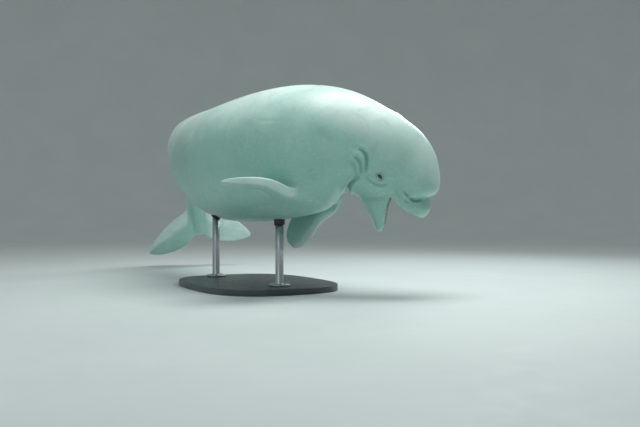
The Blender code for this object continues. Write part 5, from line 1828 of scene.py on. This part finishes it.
def tooth_material():
    return plain_material(
        "tooth", tones=(TOOTH_LIGHT, TOOTH_STAIN), patches=((160.0, 5.0, 0.65), (0.4, 0.75)),
        uneven=(240.0,), roughness=(0.25, 0.45), relief=(((500.0, 4.0), 1.0),),
        bump=(0.0004, 0.4), sheen={"Subsurface Weight": 0.15, "Subsurface Scale": 0.003},
    )


def stand_material():
    """Dark satin paint with a faint orange peel."""
    return plain_material(
        "stand_paint", tones=(STAND_TONE, STAND_TONE_LIGHT), patches=((6.0, 5.0, 0.6), WIDE_SPAN),
        uneven=(25.0, 5.0), roughness=(0.36, 0.48), relief=(((520.0, 3.0, 0.5), 1.0),),
        bump=(0.0005, 0.35), sheen={"Coat Weight": 0.15, "Coat Roughness": 0.25},
    )


def pad_material():
    return plain_material(
        "pad_rubber", tones=(PAD_TONE, PAD_TONE_LIGHT), patches=((80.0, 5.0), WIDE_SPAN),
        uneven=(150.0,), roughness=(0.6, 0.78), relief=(((700.0, 4.0), 1.0),),
        bump=(0.0006, 0.5), sheen={},
    )


def floor_material():
    return plain_material(
        "studio_floor", tones=(FLOOR_TONE, FLOOR_TONE_LIGHT), patches=((1.3, 4.0), WIDE_SPAN),
        uneven=(8.0, 5.0), roughness=(0.55, 0.7), relief=(((60.0, 4.0), 1.0),),
        bump=(0.001, 0.1), sheen={},
    )


def make_floor():
    """A round pale floor that bends up far away into a wall on all sides."""
    shape = bmesh.new()
    rings = [circle(shape, (0.0, 0.0), *row, FLOOR_SIDES) for row in FLOOR_PROFILE]
    join_loops(shape, rings[::-1])
    shape.faces.new(rings[0])
    floor = from_bmesh("studio_floor", shape)
    floor.data.materials.append(floor_material())


def add_light(name, place, aim, size, power, colour):
    light = bpy.data.lights.new(name, "AREA")
    light.shape = "RECTANGLE"
    light.size, light.size_y = size
    light.energy = power
    light.color = colour
    lamp = bpy.data.objects.new(name, light)
    lamp.location = place
    lamp.rotation_euler = (Vector(aim) - Vector(place)).to_track_quat("-Z", "Y").to_euler()
    bpy.context.scene.collection.objects.link(lamp)


def set_studio():
    """Pale surroundings, soft lights and the camera."""
    world = bpy.data.worlds.new("studio")
    world.use_nodes = True
    back = next(n for n in world.node_tree.nodes if n.type == "BACKGROUND")
    back.inputs["Color"].default_value = (*WORLD_TONE, 1.0)
    back.inputs["Strength"].default_value = WORLD_STRENGTH
    bpy.context.scene.world = world
    bpy.context.scene.view_settings.view_transform = "Standard"
    for light in LIGHTS:
        add_light(*light)
    camera = bpy.data.cameras.new("camera")
    camera.sensor_width = SENSOR
    camera.lens = LENS
    viewer = bpy.data.objects.new("camera", camera)
    viewer.location = CAMERA_PLACE
    viewer.rotation_euler = (math.pi / 2, 0.0, 0.0)
    bpy.context.scene.collection.objects.link(viewer)
    bpy.context.scene.camera = viewer


def dress(piece, material, slot, *nodes):
    """Give a piece its material and its place in the frame."""
    piece.data.materials.clear()
    piece.data.materials.append(material)
    piece.data.polygons.foreach_set("material_index", [0] * len(piece.data.polygons))
    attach(piece, "root")
    if nodes:
        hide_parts(*nodes)


def main():
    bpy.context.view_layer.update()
    cage, spine = build_cage()
    skin, eyes = shape_skin(cage, spine)
    tree = tree_of(skin.data)
    dress(skin, skin_material(), "skin", *FLESH_NODES)
    eye = eye_material()
    for node, matrix in eyes.items():
        dress(make_eye(node + "_ball", node, matrix), eye, "eye", node)
    dress(make_tongue(spine), flesh_material(), "mouth", "tongue")
    tooth = tooth_material()
    dress(make_teeth("teeth_upper", spine, True), tooth, "mouth")
    dress(make_teeth("teeth_lower", spine, False), tooth, "mouth")
    base = round_slab("stand_plate", BASE_LEVELS, base_outline())
    dress(base, stand_material(), "stand", "stand_base")
    steel, rubber = steel_material(), pad_material()
    for which, place in zip(("front", "rear"), ROD_PLACES):
        spot = spine.point(place, 0.0, 0.0)
        rod = make_rod("stand_steel_" + which, tree, spot)
        dress(rod, steel, "rod", "stand_rod_" + which)
        dress(make_pad("stand_pad_" + which, tree, spot), rubber, "stand")
        for screw in make_screws("stand_screw_" + which, spot):
            dress(screw, steel, "rod")
    make_floor()
    set_studio()


main()
